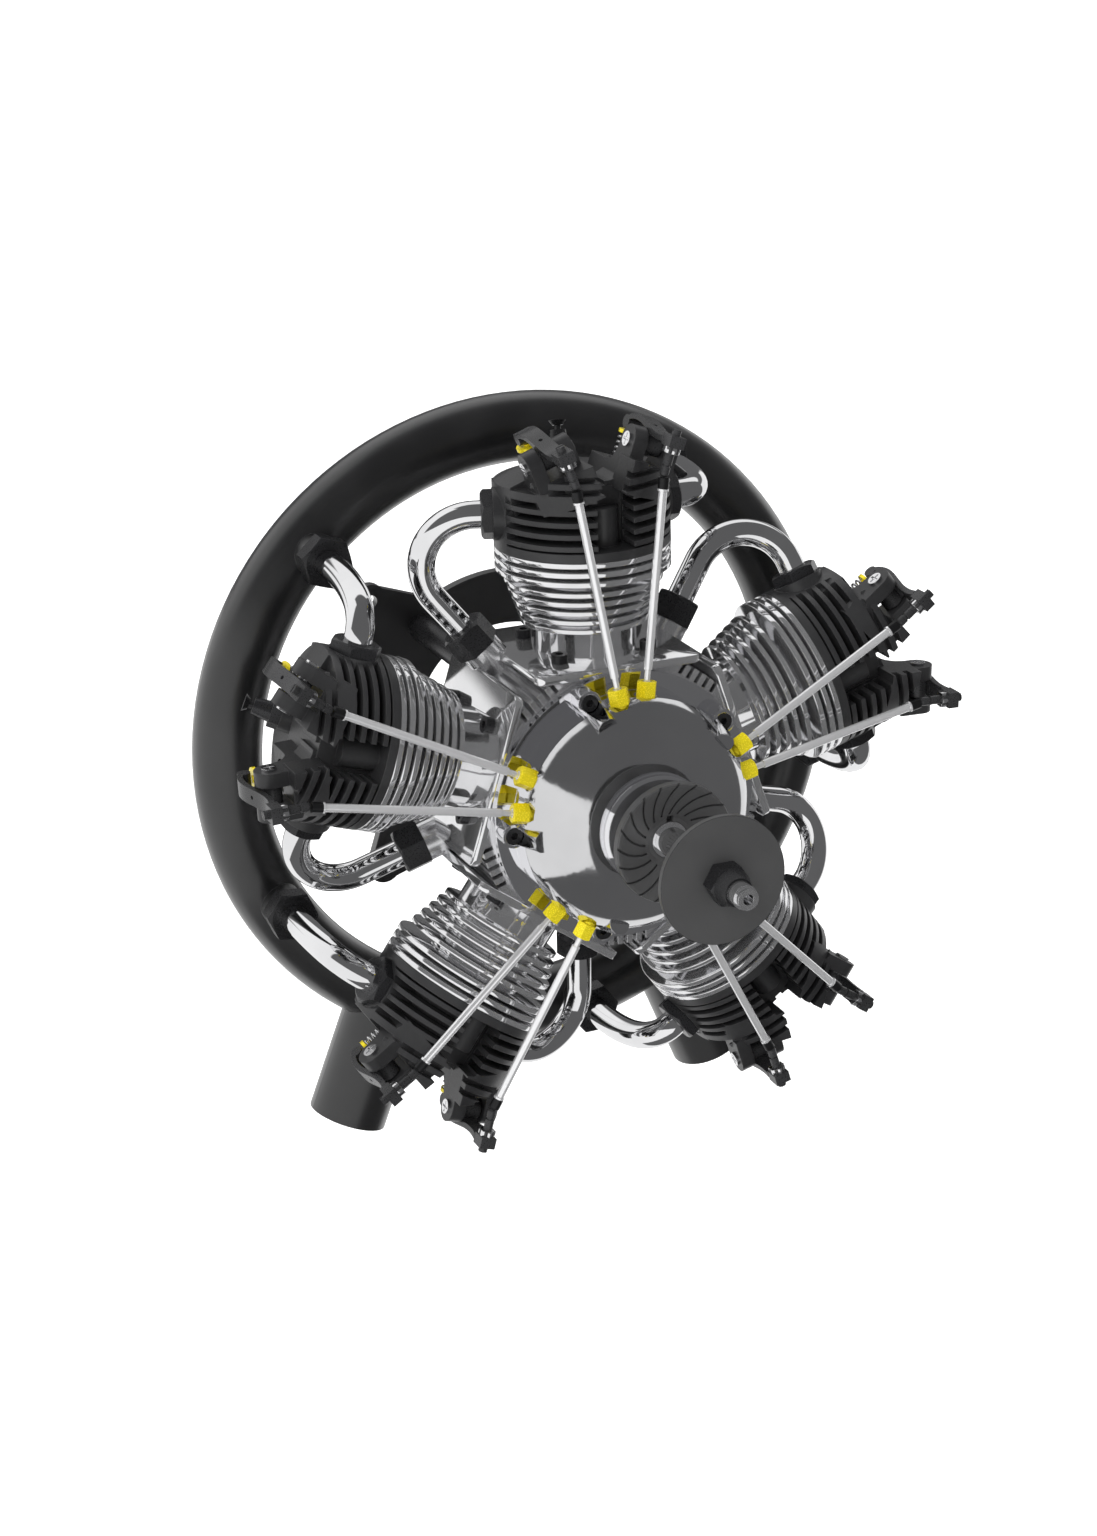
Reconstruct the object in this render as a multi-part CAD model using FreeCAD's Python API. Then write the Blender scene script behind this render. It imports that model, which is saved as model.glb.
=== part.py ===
"""Five-cylinder, four-stroke radial engine for a model aeroplane.

Millimetres. +Z is up, the nose points along -Y, and the origin is on the crank axis
in the face that bolts to the bulkhead. Everything that belongs to one cylinder is made
for the top one, with Y counted from the plane of the cylinder axes, and then turned
about the crank axis.
"""
import FreeCAD
import Part
import math
import os

V = FreeCAD.Vector
os.makedirs("parts", exist_ok=True)

# Whole engine
cylinder_count = 5
cylinder_plane = -77.0
running_clearance = 0.05
seat_clearance = 0.03

# Crankcase
case_front = 27.5
case_rear = 28.0
pad_distance = 44.5
corner_radius = 50.0
case_cavity_radius = 33.0
case_front_wall = 8.0
groove_count = 5
groove_pitch = 3.4
groove_width = 1.4
groove_depth = 4.0
groove_rear = 2.0

# Nose case
nose_flange_width = 6.2
nose_flange_thickness = 3.0
nose_rim_wall = 5.55
nose_rim_front = 40.0
dome_inner_radius = 8.0
dome_depth = 14.0
lip_radius = 18.2
lip_edge_radius = 17.2
lip_front = 56.3
nose_wall = 3.0
lug_radius = 4.1
lug_height = 3.2
lug_angle = 20.0
lug_outside_rim = 2.1
lug_fillet_inward = 6.0
lug_fillet_forward = 12.5
cap_screw_radius = 1.5
cap_head_radius = 2.75
cap_head_height = 3.0
cap_screw_depth = 7.0
cap_socket_radius = 1.45
cap_socket_depth = 1.6

# Bearings and crankshaft
bearing_radius = 11.0
bearing_width = 6.0
shaft_radius = 5.0
nose_journal_radius = 6.0
thread_radius = 4.0
shaft_tip = 122.3
tip_radius = 3.5
tip_hole_radius = 1.7
tip_hole_depth = 9.0
throw = 14.0
crankpin_radius = 4.5
web_thickness = 7.0
web_half_width = 9.0
counterweight_radius = 25.0
counterweight_angle = 110.0
web_gap = 0.3

# Cam drive
gear_module = 1.4
sun_teeth = 10
idler_teeth = 15
ring_teeth = 40
pressure_angle = 20.0
addendum = 0.7
dedendum = 1.1
flank_play = 0.10
gear_front = 36.0
gear_width = 6.0
cam_base_radius = 31.2
cam_lift = 1.9
cam_side_gap = 0.95
cam_lobe_width = 34.0
cam_track_width = 3.05
cam_lobes = 2
idler_pin_radius = 2.5
idler_hub_radius = 4.5

# Propeller fastening
driver_radius = 20.0
driver_rim = 3.2
driver_front = 69.7
driver_dish = 4.2
driver_hub_radius = 11.0
propeller_room = 32.9
washer_radius = 21.0
washer_thickness = 2.0
prop_nut_flats = 12.0
prop_nut_height = 6.4
collar_radius = 6.1
collar_height = 4.8
driver_key_width = 2.0
driver_grooves = 20
driver_groove_width = 0.5
driver_groove_depth = 0.5
driver_groove_curve = 15.0
driver_groove_start = 9.0

# Cylinder barrel
bore_radius = 14.5
skirt_radius = 17.0
spigot_radius = 16.4
spigot_depth = 6.0
flange_half = 20.5
flange_thickness = 2.8
flange_corner = 3.0
flange_screw_offset = 15.7
small_fins = 5
small_fin_first = 12.9
small_fin_pitch = 3.4
small_fin_radius = 21.5
small_fin_growth = 1.17
small_fin_thickness = 1.4
large_fins = 3
large_fin_pitch = 3.15
large_fin_thickness = 1.9
barrel_height = 38.1
head_radius = 29.0

# Cylinder head
head_base_thickness = 3.0
head_core_radius = 20.0
head_height = 22.0
deck_thickness = 2.6
head_fins = 4
head_fin_first = 4.6
head_fin_pitch = 3.9
head_fin_thickness = 1.7
side_block_depth = 4.5
side_block_front = 5.0
side_block_rear = 10.0
rear_step = 10.0
rear_step_depth = 1.6
valley_half = 6.3
valley_back = 17.5
column_radius = 5.0
column_height = 15.8
chamber_height = 6.5
port_above_seat = 11.5
port_out = (31.2, 30.6)
port_behind = (5.1, -1.25)
port_lean = (19.0, -3.5)
port_boss_radius = 8.6
port_boss_length = 22.0
port_depth = 6.5

# Valve gear, in the tilted frame of one rocker: across, along the crank axis, out
valve_tilt = 20.0
rocker_across = 17.8
rocker_above_deck = 11.2
rocker_ahead = 16.0
box_half = 8.2
box_front = 5.0
box_rear = 23.0
ear_radius = 5.0
ear_overhang = 0.7
slot_half = 3.4
slot_floor = -6.0
wall_sweep_radius = 7.0
wall_top = -8.8
shelf_top = -6.4
shelf_outer = 14.6
shelf_front = 8.0
shelf_rear = 22.0
box_base = -16.0
box_fin_half = 9.4
box_fin_front = 13.0
box_fin_depth = 1.2
box_fin_gap = 2.0
inner_block_edge = 1.3
inner_block_front = 17.0
inner_block_rear = 4.5
inner_block_height = 23.4
inner_block_reach = 7.2
inner_block_rise = 4.6
inner_block_drop = 7.0
rocker_shaft_radius = 2.0
rocker_shaft_head = 2.5
rocker_shaft_head_height = 0.8
rocker_half = 2.8
rocker_hub_radius = 3.6
rocker_strip = 1.9
adjuster_reach = (17.3, 15.3)
adjuster_radius = 1.5
adjuster_top = 8.2
adjuster_block_half = 3.0
adjuster_block_floor = 2.5
adjuster_block_top = 6.2
locknut_flats = 5.0
locknut_height = 2.1
ball_radius = 1.5
ball_drop = 6.0
valve_reach = 16.0
stem_radius = 1.25
stem_tip = 1.5
valve_gap = 0.2
pad_radius = 2.2
retainer_radius = 3.9
retainer_thickness = 1.2
spring_well_radius = 4.8
spring_well_floor = -10.0
valve_head_radius = 5.5
valve_head_edge = 1.0
valve_neck_radius = 4.0
valve_neck_height = 2.6
valve_head_above_seat = 5.0
valve_seat_gap = 0.05
port_radius = 3.6

# Push rods and their guides
guide_across = (5.6, 5.5)
guide_ahead = (40.0, 36.9)
guide_flats = 6.0
guide_below = 2.6
guide_above = 2.7
guide_stub_radius = 2.3
tappet_radius = 1.5
tappet_gap = 0.6
tappet_below_guide = 7.5
guide_stub_length = 2.6
rod_neck_radius = 1.0
rod_radius = 1.4
rod_start = 6.4
rod_collar_radius = 1.8
rod_collar_length = 4.2
ball_gap = 0.15

# Pistons and rods
piston_height = 19.0
piston_pin_height = 8.0
piston_pin_radius = 2.5
piston_wall = 2.0
rod_length = 54.0
knuckle_radius = 8.6
knuckle_pin_radius = 1.6
big_end_radius = 11.2
rod_half_thickness = 3.0
rod_end_radius = 4.4
rod_shank_half = 2.6

# Spark plugs
plug_across = (-2.0, 0.0)
plug_behind = (11.0, 17.6)
plug_foot_above_seat = 4.4
plug_seat_above_deck = 1.4
plug_thread_radius = 2.9
plug_hex_flats = 9.0
plug_hex_height = 3.4
plug_body_radius = 3.6
plug_body_height = 6.0
plug_terminal_radius = 3.0

# Pipes and their nuts
pipe_radius = (4.6, 4.75)
pipe_wall = 0.8
gland_flats = (14.6, 15.3)
gland_height = 3.8
intake_reach = 42.6
intake_bend = 17.7
intake_boss_angle = 35.2
intake_boss_distance = 63.0
intake_boss_behind = 11.5
intake_nut_flats = 14.0
intake_nut_height = 9.0
intake_boss_radius = 6.8
intake_boss_length = 14.0
intake_passage = 27.0
spot_face_clearance = 0.3
exhaust_out = 48.0
exhaust_bend = 12.0
pipe_socket = 3.5
ring_nut_flats = 16.0
ring_nut_height = 7.0
ring_nut_spin = 30.0

# Collector ring
ring_radius = 107.2
ring_tube = 11.95
ring_wall = 1.3
ring_behind = 62.8
ring_boss_radius = 7.6
ring_boss_front = 46.0
stack_radius = 14.0
stack_wall = 1.4
stack_angle = 30.0
stack_splay = 22.0
stack_length = 48.0

# Mount plate and standoffs
plate_thickness = 4.0
plate_inner = 34.5
plate_outer = 53.7
plate_arms = 4
plate_arm_circle = 69.5
plate_arm_tip = 6.0
plate_arm_root = 15.0
plate_hole_radius = 2.2
standoff_circle = 49.0
standoff_angle = 40.0
standoff_radius = 4.5
standoff_hole_radius = 2.05
standoff_lug_radius = 5.6
standoff_lug_front = 14.0

# Rear cover and carburettor
cover_radius = 40.0
cover_thickness = 5.0
cover_spigot = 4.0
cover_boss_radius = 12.0
cover_boss_height = 8.0
cover_screw_circle = 36.6
carb_bore_radius = 5.0
carb_body_radius = 9.5
carb_length = 26.0
carb_horn_radius = 12.0
carb_horn_length = 4.0
carb_drum_radius = 6.5
carb_housing_radius = 8.5
carb_housing_half = 13.0
throttle_arm_length = 14.0
throttle_arm_thickness = 1.6
throttle_arm_half = 2.4
throttle_hole_radius = 0.8
needle_radius = 1.2
needle_length = 14.0

# Values that follow from the ones above
screw_hole_radius = cap_screw_radius + seat_clearance
cam_tip_radius = cam_base_radius + cam_lift
nose_bore_radius = cam_tip_radius + cam_side_gap
nose_rim_radius = nose_bore_radius + nose_rim_wall
nose_flange_radius = nose_rim_radius + nose_flange_width
lug_circle = nose_rim_radius + lug_outside_rim
tappet_foot = cam_tip_radius + tappet_gap
guide_radius = tappet_foot + tappet_below_guide
cylinder_step = 360.0 / cylinder_count
seat_top = pad_distance + flange_thickness
nose_seat = case_front + nose_flange_thickness
gear_back = gear_front - gear_width
gear_centres = gear_module * (sun_teeth + idler_teeth) / 2
head_seat = pad_distance + barrel_height
head_deck = head_seat + head_height
port_height = head_seat + port_above_seat
rocker_height = head_deck + rocker_above_deck
washer_back = driver_front + propeller_room
washer_front = washer_back + washer_thickness
prop_nut_front = washer_front + prop_nut_height
collar_front = prop_nut_front + collar_height
plate_front = -cylinder_plane - plate_thickness
cam_track_front = guide_ahead[0] + cam_track_width / 2
tilt = math.radians(valve_tilt)
valve_head_drop = (rocker_height - head_seat - valve_head_above_seat) / math.cos(tilt)
plug_foot = V(plug_across[0], plug_behind[0], head_seat + plug_foot_above_seat)
plug_top = V(plug_across[1], plug_behind[1], head_deck + plug_seat_above_deck)
plug_axis = (plug_top - plug_foot).normalize()


def box(x0, x1, y0, y1, z0, z1):
    return Part.makeBox(x1 - x0, y1 - y0, z1 - z0, V(x0, y0, z0))


def rod(start, end, radius):
    return Part.makeCylinder(radius, (end - start).Length, start, end - start)


def tube(start, end, radius, bore):
    overrun = (end - start).normalize() * 0.5
    return rod(start, end, radius).cut(rod(start - overrun, end + overrun, bore))


def polygon_prism(points, along):
    wire = Part.makePolygon(points + [points[0]])
    return Part.Face(wire).extrude(along)


def hex_prism(start, end, flats, spin=0.0):
    """Six-sided bar between two points, across its flats."""
    axis = (end - start).normalize()
    helper = V(0, 1, 0) if abs(axis.y) < 0.9 else V(0, 0, 1)
    side = axis.cross(helper).normalize()
    other = axis.cross(side)
    corner = flats / math.sqrt(3)
    points = []
    for i in range(6):
        turn = math.radians(60 * i + spin)
        points.append(start + side * corner * math.cos(turn) + other * corner * math.sin(turn))
    return polygon_prism(points, end - start)


def hex_nut(start, end, flats, bore, spin=0.0):
    """Nut with its outer corners turned off at the far end."""
    axis = (end - start).normalize()
    corner = flats / math.sqrt(3)
    height = (end - start).Length
    chamfer = (corner - flats / 2) * 0.8
    turned = Part.makeCylinder(corner, height - chamfer, start, axis)
    cone = Part.makeCone(corner, corner - chamfer * 1.6, chamfer, end - axis * chamfer, axis)
    nut = hex_prism(start, end, flats, spin).common(turned.fuse(cone))
    return nut.cut(rod(start - axis, end + axis, bore))


def cap_screw(seat, inward):
    """Socket head screw whose head stands on the seat."""
    out = inward * -1
    screw = rod(seat, seat + inward * cap_screw_depth, cap_screw_radius)
    head = rod(seat, seat + out * cap_head_height, cap_head_radius)
    top = seat + out * cap_head_height
    socket = hex_prism(top + inward * cap_socket_depth, top + out, cap_socket_radius * math.sqrt(3))
    return screw.fuse(head).cut(socket)


def turned_y(outline):
    """Body of revolution about the crank axis, from (radius, distance ahead) corners."""
    points = [V(r, -ahead, 0) for r, ahead in outline]
    return Part.Face(Part.makePolygon(points + [points[0]])).revolve(V(0, 0, 0), V(0, 1, 0), 360)


def turned_z(outline):
    """Body of revolution about a cylinder axis, from (radius, height) corners."""
    points = [V(r, 0, z) for r, z in outline]
    return Part.Face(Part.makePolygon(points + [points[0]])).revolve(V(0, 0, 0), V(0, 0, 1), 360)


def turned(shape, degrees):
    copy = shape.copy()
    copy.rotate(V(0, 0, 0), V(0, 1, 0), degrees)
    return copy


def placed(shape, number=0):
    """Moves a piece of the top cylinder to the cylinder of that number."""
    copy = turned(shape, number * cylinder_step)
    copy.translate(V(0, cylinder_plane, 0))
    return copy


def around(shape):
    """One copy of a piece for each cylinder."""
    return [placed(shape, number) for number in range(cylinder_count)]


def polar(angle, radius, behind):
    """Point at an angle counter-clockwise of the top cylinder, seen from the nose."""
    turn = math.radians(angle)
    return V(-radius * math.sin(turn), behind, radius * math.cos(turn))


def from_rocker(side, point):
    """Point of a rocker's tilted frame in the frame of the top cylinder."""
    turn = -side * tilt
    x = point.x * math.cos(turn) + point.z * math.sin(turn)
    z = -point.x * math.sin(turn) + point.z * math.cos(turn)
    return V(x - side * rocker_across, point.y - rocker_ahead, z + rocker_height)


def tilted(shape, side):
    """Moves a shape from a rocker's tilted frame to the top cylinder."""
    copy = turned(shape, -side * valve_tilt)
    copy.translate(V(-side * rocker_across, -rocker_ahead, rocker_height))
    return copy


def side_index(side):
    return 0 if side > 0 else 1


def guide_point(side):
    return V(-side * guide_across[side_index(side)], -guide_ahead[side_index(side)], guide_radius)


def ball_point(side):
    return from_rocker(side, V(0, -adjuster_reach[side_index(side)], -ball_drop))


def rod_direction(side):
    return (ball_point(side) - guide_point(side)).normalize()


def fused(first, *others):
    return first.multiFuse(list(others)).removeSplitter()


def export(name, *shapes):
    solids = []
    for shape in shapes:
        solids.extend(shape.Solids)
    whole = solids[0] if len(solids) == 1 else Part.makeCompound(solids)
    whole.exportStep("parts/" + name + ".step")


# Ports and pipes
def port_axis(side):
    """Way out of a port, leaning to the rear."""
    lean = math.radians(port_lean[side_index(side)])
    return V(-side * math.cos(lean), math.sin(lean), 0)


def port_face(side):
    """Point of a port's axis in the seat of its gland nut."""
    index = side_index(side)
    middle = V(-side * port_out[index], port_behind[index], port_height)
    return middle - port_axis(side) * (gland_height / 2)


def intake_corner_point():
    """Where the intake pipe's two straight runs would meet."""
    return port_face(1) + port_axis(1) * intake_reach


def intake_nut_middle():
    return polar(intake_boss_angle, intake_boss_distance, intake_boss_behind)


def intake_heading():
    """Way of the intake pipe into the crankcase."""
    return (intake_nut_middle() - intake_corner_point()).normalize()


def bent_pipe(start, corner, end, bend_radius, radius):
    """Tube of two straight runs and a bend that rounds their corner."""
    before = (start - corner).normalize()
    after = (end - corner).normalize()
    half = before.getAngle(after) / 2
    bend_start = corner + before * (bend_radius / math.tan(half))
    bend_end = corner + after * (bend_radius / math.tan(half))
    centre = corner + (before + after).normalize() * (bend_radius / math.sin(half))
    turn = 180 - 2 * math.degrees(half)
    walls = []
    for section_radius in (radius, radius - pipe_wall):
        circle = Part.Wire([Part.Circle(bend_start, before, section_radius).toShape()])
        bend = Part.Face(circle).revolve(centre, after.cross(before), turn)
        walls.append(rod(start, bend_start,
                         section_radius).fuse([bend, rod(bend_end, end, section_radius)]))
    return walls[0].removeSplitter().cut(walls[1])


def pipe_start(side):
    return port_face(side) - port_axis(side) * (port_depth - seat_clearance)


def intake_pipe():
    end = intake_nut_middle() + intake_heading() * (intake_nut_height / 2 + pipe_socket)
    return bent_pipe(pipe_start(1), intake_corner_point(), end, intake_bend, pipe_radius[0])


def exhaust_pipe():
    face = port_face(-1)
    way = port_axis(-1)
    corner = face + way * ((exhaust_out - face.x) / way.x)
    end = V(exhaust_out, ring_boss_front + pipe_socket, port_height)
    return bent_pipe(pipe_start(-1), corner, end, exhaust_bend, pipe_radius[1])


def pipe_nuts():
    """The gland nuts in the head, the nut on the case boss and the nut on the ring boss."""
    nuts = []
    for side in (1, -1):
        index = side_index(side)
        face = port_face(side)
        nuts.append(hex_nut(face, face + port_axis(side) * gland_height, gland_flats[index],
                            pipe_radius[index] + seat_clearance))
    middle = intake_nut_middle()
    half = intake_heading() * (intake_nut_height / 2)
    nuts.append(hex_nut(middle + half, middle - half, intake_nut_flats, pipe_radius[0] + seat_clearance))
    ring_face = V(exhaust_out, ring_boss_front, port_height)
    nuts.append(hex_nut(ring_face, ring_face - V(0, ring_nut_height, 0), ring_nut_flats,
                        pipe_radius[1] + seat_clearance, ring_nut_spin))
    return nuts


# Crankcase: pentagon with rounded, grooved corners
def crankcase():
    corner_angle = cylinder_step / 2
    corner = pad_distance / math.cos(math.radians(corner_angle))
    points = [polar(corner_angle + cylinder_step * i, corner, -case_front) for i in range(cylinder_count)]
    body = polygon_prism(points, V(0, case_front + case_rear, 0))
    body = body.common(rod(V(0, -case_front, 0), V(0, case_rear, 0), corner_radius))
    heading = intake_heading()
    boss_face = intake_nut_middle() + heading * (intake_nut_height / 2)
    for number in range(cylinder_count):
        boss = rod(boss_face, boss_face + heading * intake_boss_length, intake_boss_radius)
        lug_centre = polar(standoff_angle, standoff_circle, standoff_lug_front)
        lug = rod(lug_centre, V(lug_centre.x, case_rear, lug_centre.z), standoff_lug_radius)
        body = body.fuse([turned(boss, number * cylinder_step), turned(lug, number * cylinder_step)])
    cuts = [rod(V(0, -case_front + case_front_wall, 0), V(0, case_rear + 1, 0), case_cavity_radius)]
    cuts.append(rod(V(0, -case_front - 1, 0), V(0, 0, 0), bearing_radius + seat_clearance))
    for number in range(cylinder_count):
        local = [rod(V(0, 0, 0), V(0, 0, pad_distance + 1), spigot_radius + seat_clearance)]
        for i in range(groove_count):
            x = (i - (groove_count - 1) / 2) * groove_pitch
            groove = box(x - groove_width / 2, x + groove_width / 2, -case_front - 1, groove_rear,
                         corner_radius - groove_depth, corner_radius + 1)
            local.append(turned(groove, corner_angle))
        for x in (-flange_screw_offset, flange_screw_offset):
            for y in (-flange_screw_offset, flange_screw_offset):
                bottom = seat_top - cap_screw_depth - 1
                local.append(rod(V(x, y, bottom), V(x, y, pad_distance + 1), screw_hole_radius))
        local.append(rod(boss_face - heading, boss_face + heading * pipe_socket,
                         pipe_radius[0] + seat_clearance))
        local.append(rod(boss_face, boss_face + heading * intake_passage, pipe_radius[0] - pipe_wall))
        lug_hole = polar(lug_angle, lug_circle, -case_front - 1)
        local.append(rod(lug_hole, lug_hole + V(0, cap_screw_depth + 1, 0), screw_hole_radius))
        rear_hole = polar(0, cover_screw_circle, case_rear + 1)
        local.append(rod(rear_hole, rear_hole - V(0, cap_screw_depth, 0), screw_hole_radius))
        stud = polar(standoff_angle, standoff_circle, case_rear + 1)
        local.append(rod(stud, stud - V(0, cap_screw_depth, 0), standoff_hole_radius))
        cuts.extend(turned(cutter, number * cylinder_step) for cutter in local)
    body = body.cut(cuts)
    pin = rod(V(0, -case_front, gear_centres), V(0, -gear_front, gear_centres), idler_pin_radius)
    return placed(fused(body, pin))


# Nose case: dome, lip, screw lugs and seats for the guides
def nose_case():
    profile = [V(nose_bore_radius, -case_front, 0), V(nose_flange_radius, -case_front, 0),
               V(nose_flange_radius, -nose_seat, 0), V(nose_rim_radius, -nose_seat, 0),
               V(nose_rim_radius, -nose_rim_front, 0)]
    edges = [Part.LineSegment(a, b).toShape() for a, b in zip(profile, profile[1:])]
    width = nose_rim_radius - dome_inner_radius
    stop = math.acos((lip_radius - dome_inner_radius) / width)

    def on_dome(turn, inset):
        radius = dome_inner_radius + (width - inset) * math.cos(turn)
        return V(radius, -nose_rim_front - (dome_depth - inset) * math.sin(turn), 0)

    lip_root = on_dome(stop, 0)
    edges.append(Part.Arc(on_dome(0, 0), on_dome(stop / 2, 0), lip_root).toShape())
    inner_front = nose_rim_front + dome_depth - nose_wall
    inner = [lip_root, V(lip_radius, -lip_front + 1.2, 0), V(lip_edge_radius, -lip_front, 0),
             V(bearing_radius + 1.6, -lip_front, 0),
             V(bearing_radius + seat_clearance, -lip_front + 1.2, 0),
             V(bearing_radius + seat_clearance, -inner_front + 3.6, 0),
             V(bearing_radius + 3.0, -inner_front + 3.6, 0), V(bearing_radius + 6.0, -inner_front, 0)]
    edges.extend(Part.LineSegment(a, b).toShape() for a, b in zip(inner, inner[1:]))
    rim_inner = V(nose_bore_radius, -nose_rim_front - 1.5, 0)
    shoulder = V(nose_bore_radius - 4.5, -inner_front + 3.2, 0)
    edges.append(Part.Arc(inner[-1], shoulder, rim_inner).toShape())
    edges.append(Part.LineSegment(rim_inner, profile[0]).toShape())
    body = Part.Face(Part.Wire(edges)).revolve(V(0, 0, 0), V(0, 1, 0), 360)

    lug_top = nose_seat + lug_height
    additions = []
    cuts = []
    for number in range(cylinder_count):
        foot = polar(lug_angle, lug_circle, -nose_seat + 0.5)
        top = polar(lug_angle, lug_circle, -lug_top - cap_head_height)
        far = polar(lug_angle, lug_circle - lug_fillet_inward, -lug_top - lug_fillet_forward)
        near = polar(lug_angle, lug_circle - 1.0, -lug_top + 1.0)
        pieces = [rod(foot, top, lug_radius), rod(near, far, lug_radius - 0.6)]
        additions.extend(turned(piece, number * cylinder_step) for piece in pieces)
        pocket_end = polar(lug_angle, lug_circle, -lip_front)
        pocket = rod(polar(lug_angle, lug_circle, -lug_top), pocket_end, cap_head_radius + 0.25)
        hole = rod(polar(lug_angle, lug_circle, -case_front + 1), top, screw_hole_radius)
        for side in (1, -1):
            direction = rod_direction(side)
            point = guide_point(side)
            seat = rod(point - direction * guide_below, point + direction * 12,
                       guide_flats / math.sqrt(3) + 0.3)
            stub = rod(point - direction * 12, point, guide_stub_radius + seat_clearance)
            cuts.extend(turned(cutter, number * cylinder_step) for cutter in (seat, stub))
        cuts.extend(turned(cutter, number * cylinder_step) for cutter in (pocket, hole))
    outer = rod(V(0, 0, 0), V(0, -lip_front, 0), nose_bore_radius)
    extra = additions[0].multiFuse(additions[1:]).cut(outer.cut(body))
    return placed(body.fuse(extra.Solids).cut(cuts).removeSplitter())


def case_screws():
    """Flange, nose and rear cover screws."""
    screws = []
    for x in (-flange_screw_offset, flange_screw_offset):
        for y in (-flange_screw_offset, flange_screw_offset):
            screws.append(cap_screw(V(x, y, seat_top), V(0, 0, -1)))
    screws.append(cap_screw(polar(lug_angle, lug_circle, -nose_seat - lug_height), V(0, 1, 0)))
    screws.append(cap_screw(polar(0, cover_screw_circle, case_rear + cover_thickness), V(0, -1, 0)))
    return screws


# Cylinder barrel
def barrel():
    outline = [(bore_radius, pad_distance - spigot_depth), (spigot_radius, pad_distance - spigot_depth),
               (spigot_radius, seat_top), (skirt_radius, seat_top)]
    fins = []
    for i in range(small_fins):
        fins.append((pad_distance + small_fin_first + small_fin_pitch * i, small_fin_thickness,
                     small_fin_radius + small_fin_growth * i))
    for i in reversed(range(large_fins)):
        fins.append((head_seat - large_fin_thickness / 2 - large_fin_pitch * i, large_fin_thickness,
                     head_radius))
    for height, thickness, radius in fins:
        low = height - thickness / 2
        high = height + thickness / 2
        outline.extend([(skirt_radius, low), (radius, low), (radius, high)])
        if high < head_seat:
            outline.append((skirt_radius, high))
    outline.append((bore_radius, head_seat))
    body = turned_z(outline)
    flange = box(-flange_half, flange_half, -flange_half, flange_half, pad_distance, seat_top)
    upright = [e for e in flange.Edges if abs(e.Vertexes[0].Z - e.Vertexes[1].Z) > 1]
    flange = flange.makeFillet(flange_corner, upright)
    holes = [rod(V(0, 0, 0), V(0, 0, head_seat), bore_radius)]
    for x in (-flange_screw_offset, flange_screw_offset):
        for y in (-flange_screw_offset, flange_screw_offset):
            holes.append(rod(V(x, y, pad_distance - 1), V(x, y, seat_top + 1), screw_hole_radius))
    return fused(body, flange).cut(holes)


# Cylinder head
def rocker_box():
    """Ears and walls of one rocker box in its tilted frame."""
    front = box(-box_half, box_half, -box_front, ear_radius, box_base, 0)
    ears = rod(V(-box_half, 0, 0), V(box_half, 0, 0), ear_radius)
    sweep_end = ear_radius + wall_sweep_radius
    walls = box(-box_half, box_half, 0, box_rear, box_base, wall_top + wall_sweep_radius)
    hollow = rod(V(-box_half - 1, sweep_end, wall_top + wall_sweep_radius),
                 V(box_half + 1, sweep_end, wall_top + wall_sweep_radius), wall_sweep_radius)
    behind = box(-box_half - 1, box_half + 1, sweep_end, box_rear + 1, wall_top,
                 wall_top + 2 * wall_sweep_radius)
    return fused(front, ears, walls.cut([hollow, behind]))


def box_fins(side):
    """Grooved foot of a rocker box, which stands out to the head's own radius."""
    foot = box(-box_fin_half, box_fin_half, -box_fin_front, 0, box_base, -box_front)
    foot = tilted(foot, side).common(rod(V(0, 0, head_seat), V(0, 0, rocker_height), head_radius))
    for i in range(2):
        low = head_deck + box_fin_gap * 2 * i
        gap = rod(V(0, 0, low), V(0, 0, low + box_fin_gap), head_radius + 1)
        core = rod(V(0, 0, low - 1), V(0, 0, low + box_fin_gap + 1), head_radius - box_fin_depth * 3)
        foot = foot.cut(gap.cut(core))
    return foot


def inner_block(side):
    """Block between a rocker box and the middle of the head, swept up to the ear."""
    low = head_deck - inner_block_drop
    top = head_seat + inner_block_height
    edge = inner_block_edge
    corner = V(edge + inner_block_reach, 0, top + inner_block_rise)
    middle = V(edge + inner_block_reach * 0.68, 0, top + inner_block_rise * 0.32)
    sweep = Part.Arc(V(edge + inner_block_reach * 0.2, 0, top), middle, corner).toShape()
    straight = [corner, V(corner.x, 0, low),
                V(edge + inner_block_reach * 0.4, 0, low),
                V(edge, 0, low + inner_block_drop * 0.85),
                V(edge, 0, top), V(edge + inner_block_reach * 0.2, 0, top)]
    edges = [Part.LineSegment(a, b).toShape() for a, b in zip(straight, straight[1:])]
    block = Part.Face(Part.Wire([sweep] + edges)).extrude(V(0, inner_block_front - inner_block_rear, 0))
    block.translate(V(0, -inner_block_front, 0))
    return block if side < 0 else block.mirror(V(0, 0, 0), V(1, 0, 0))


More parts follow.
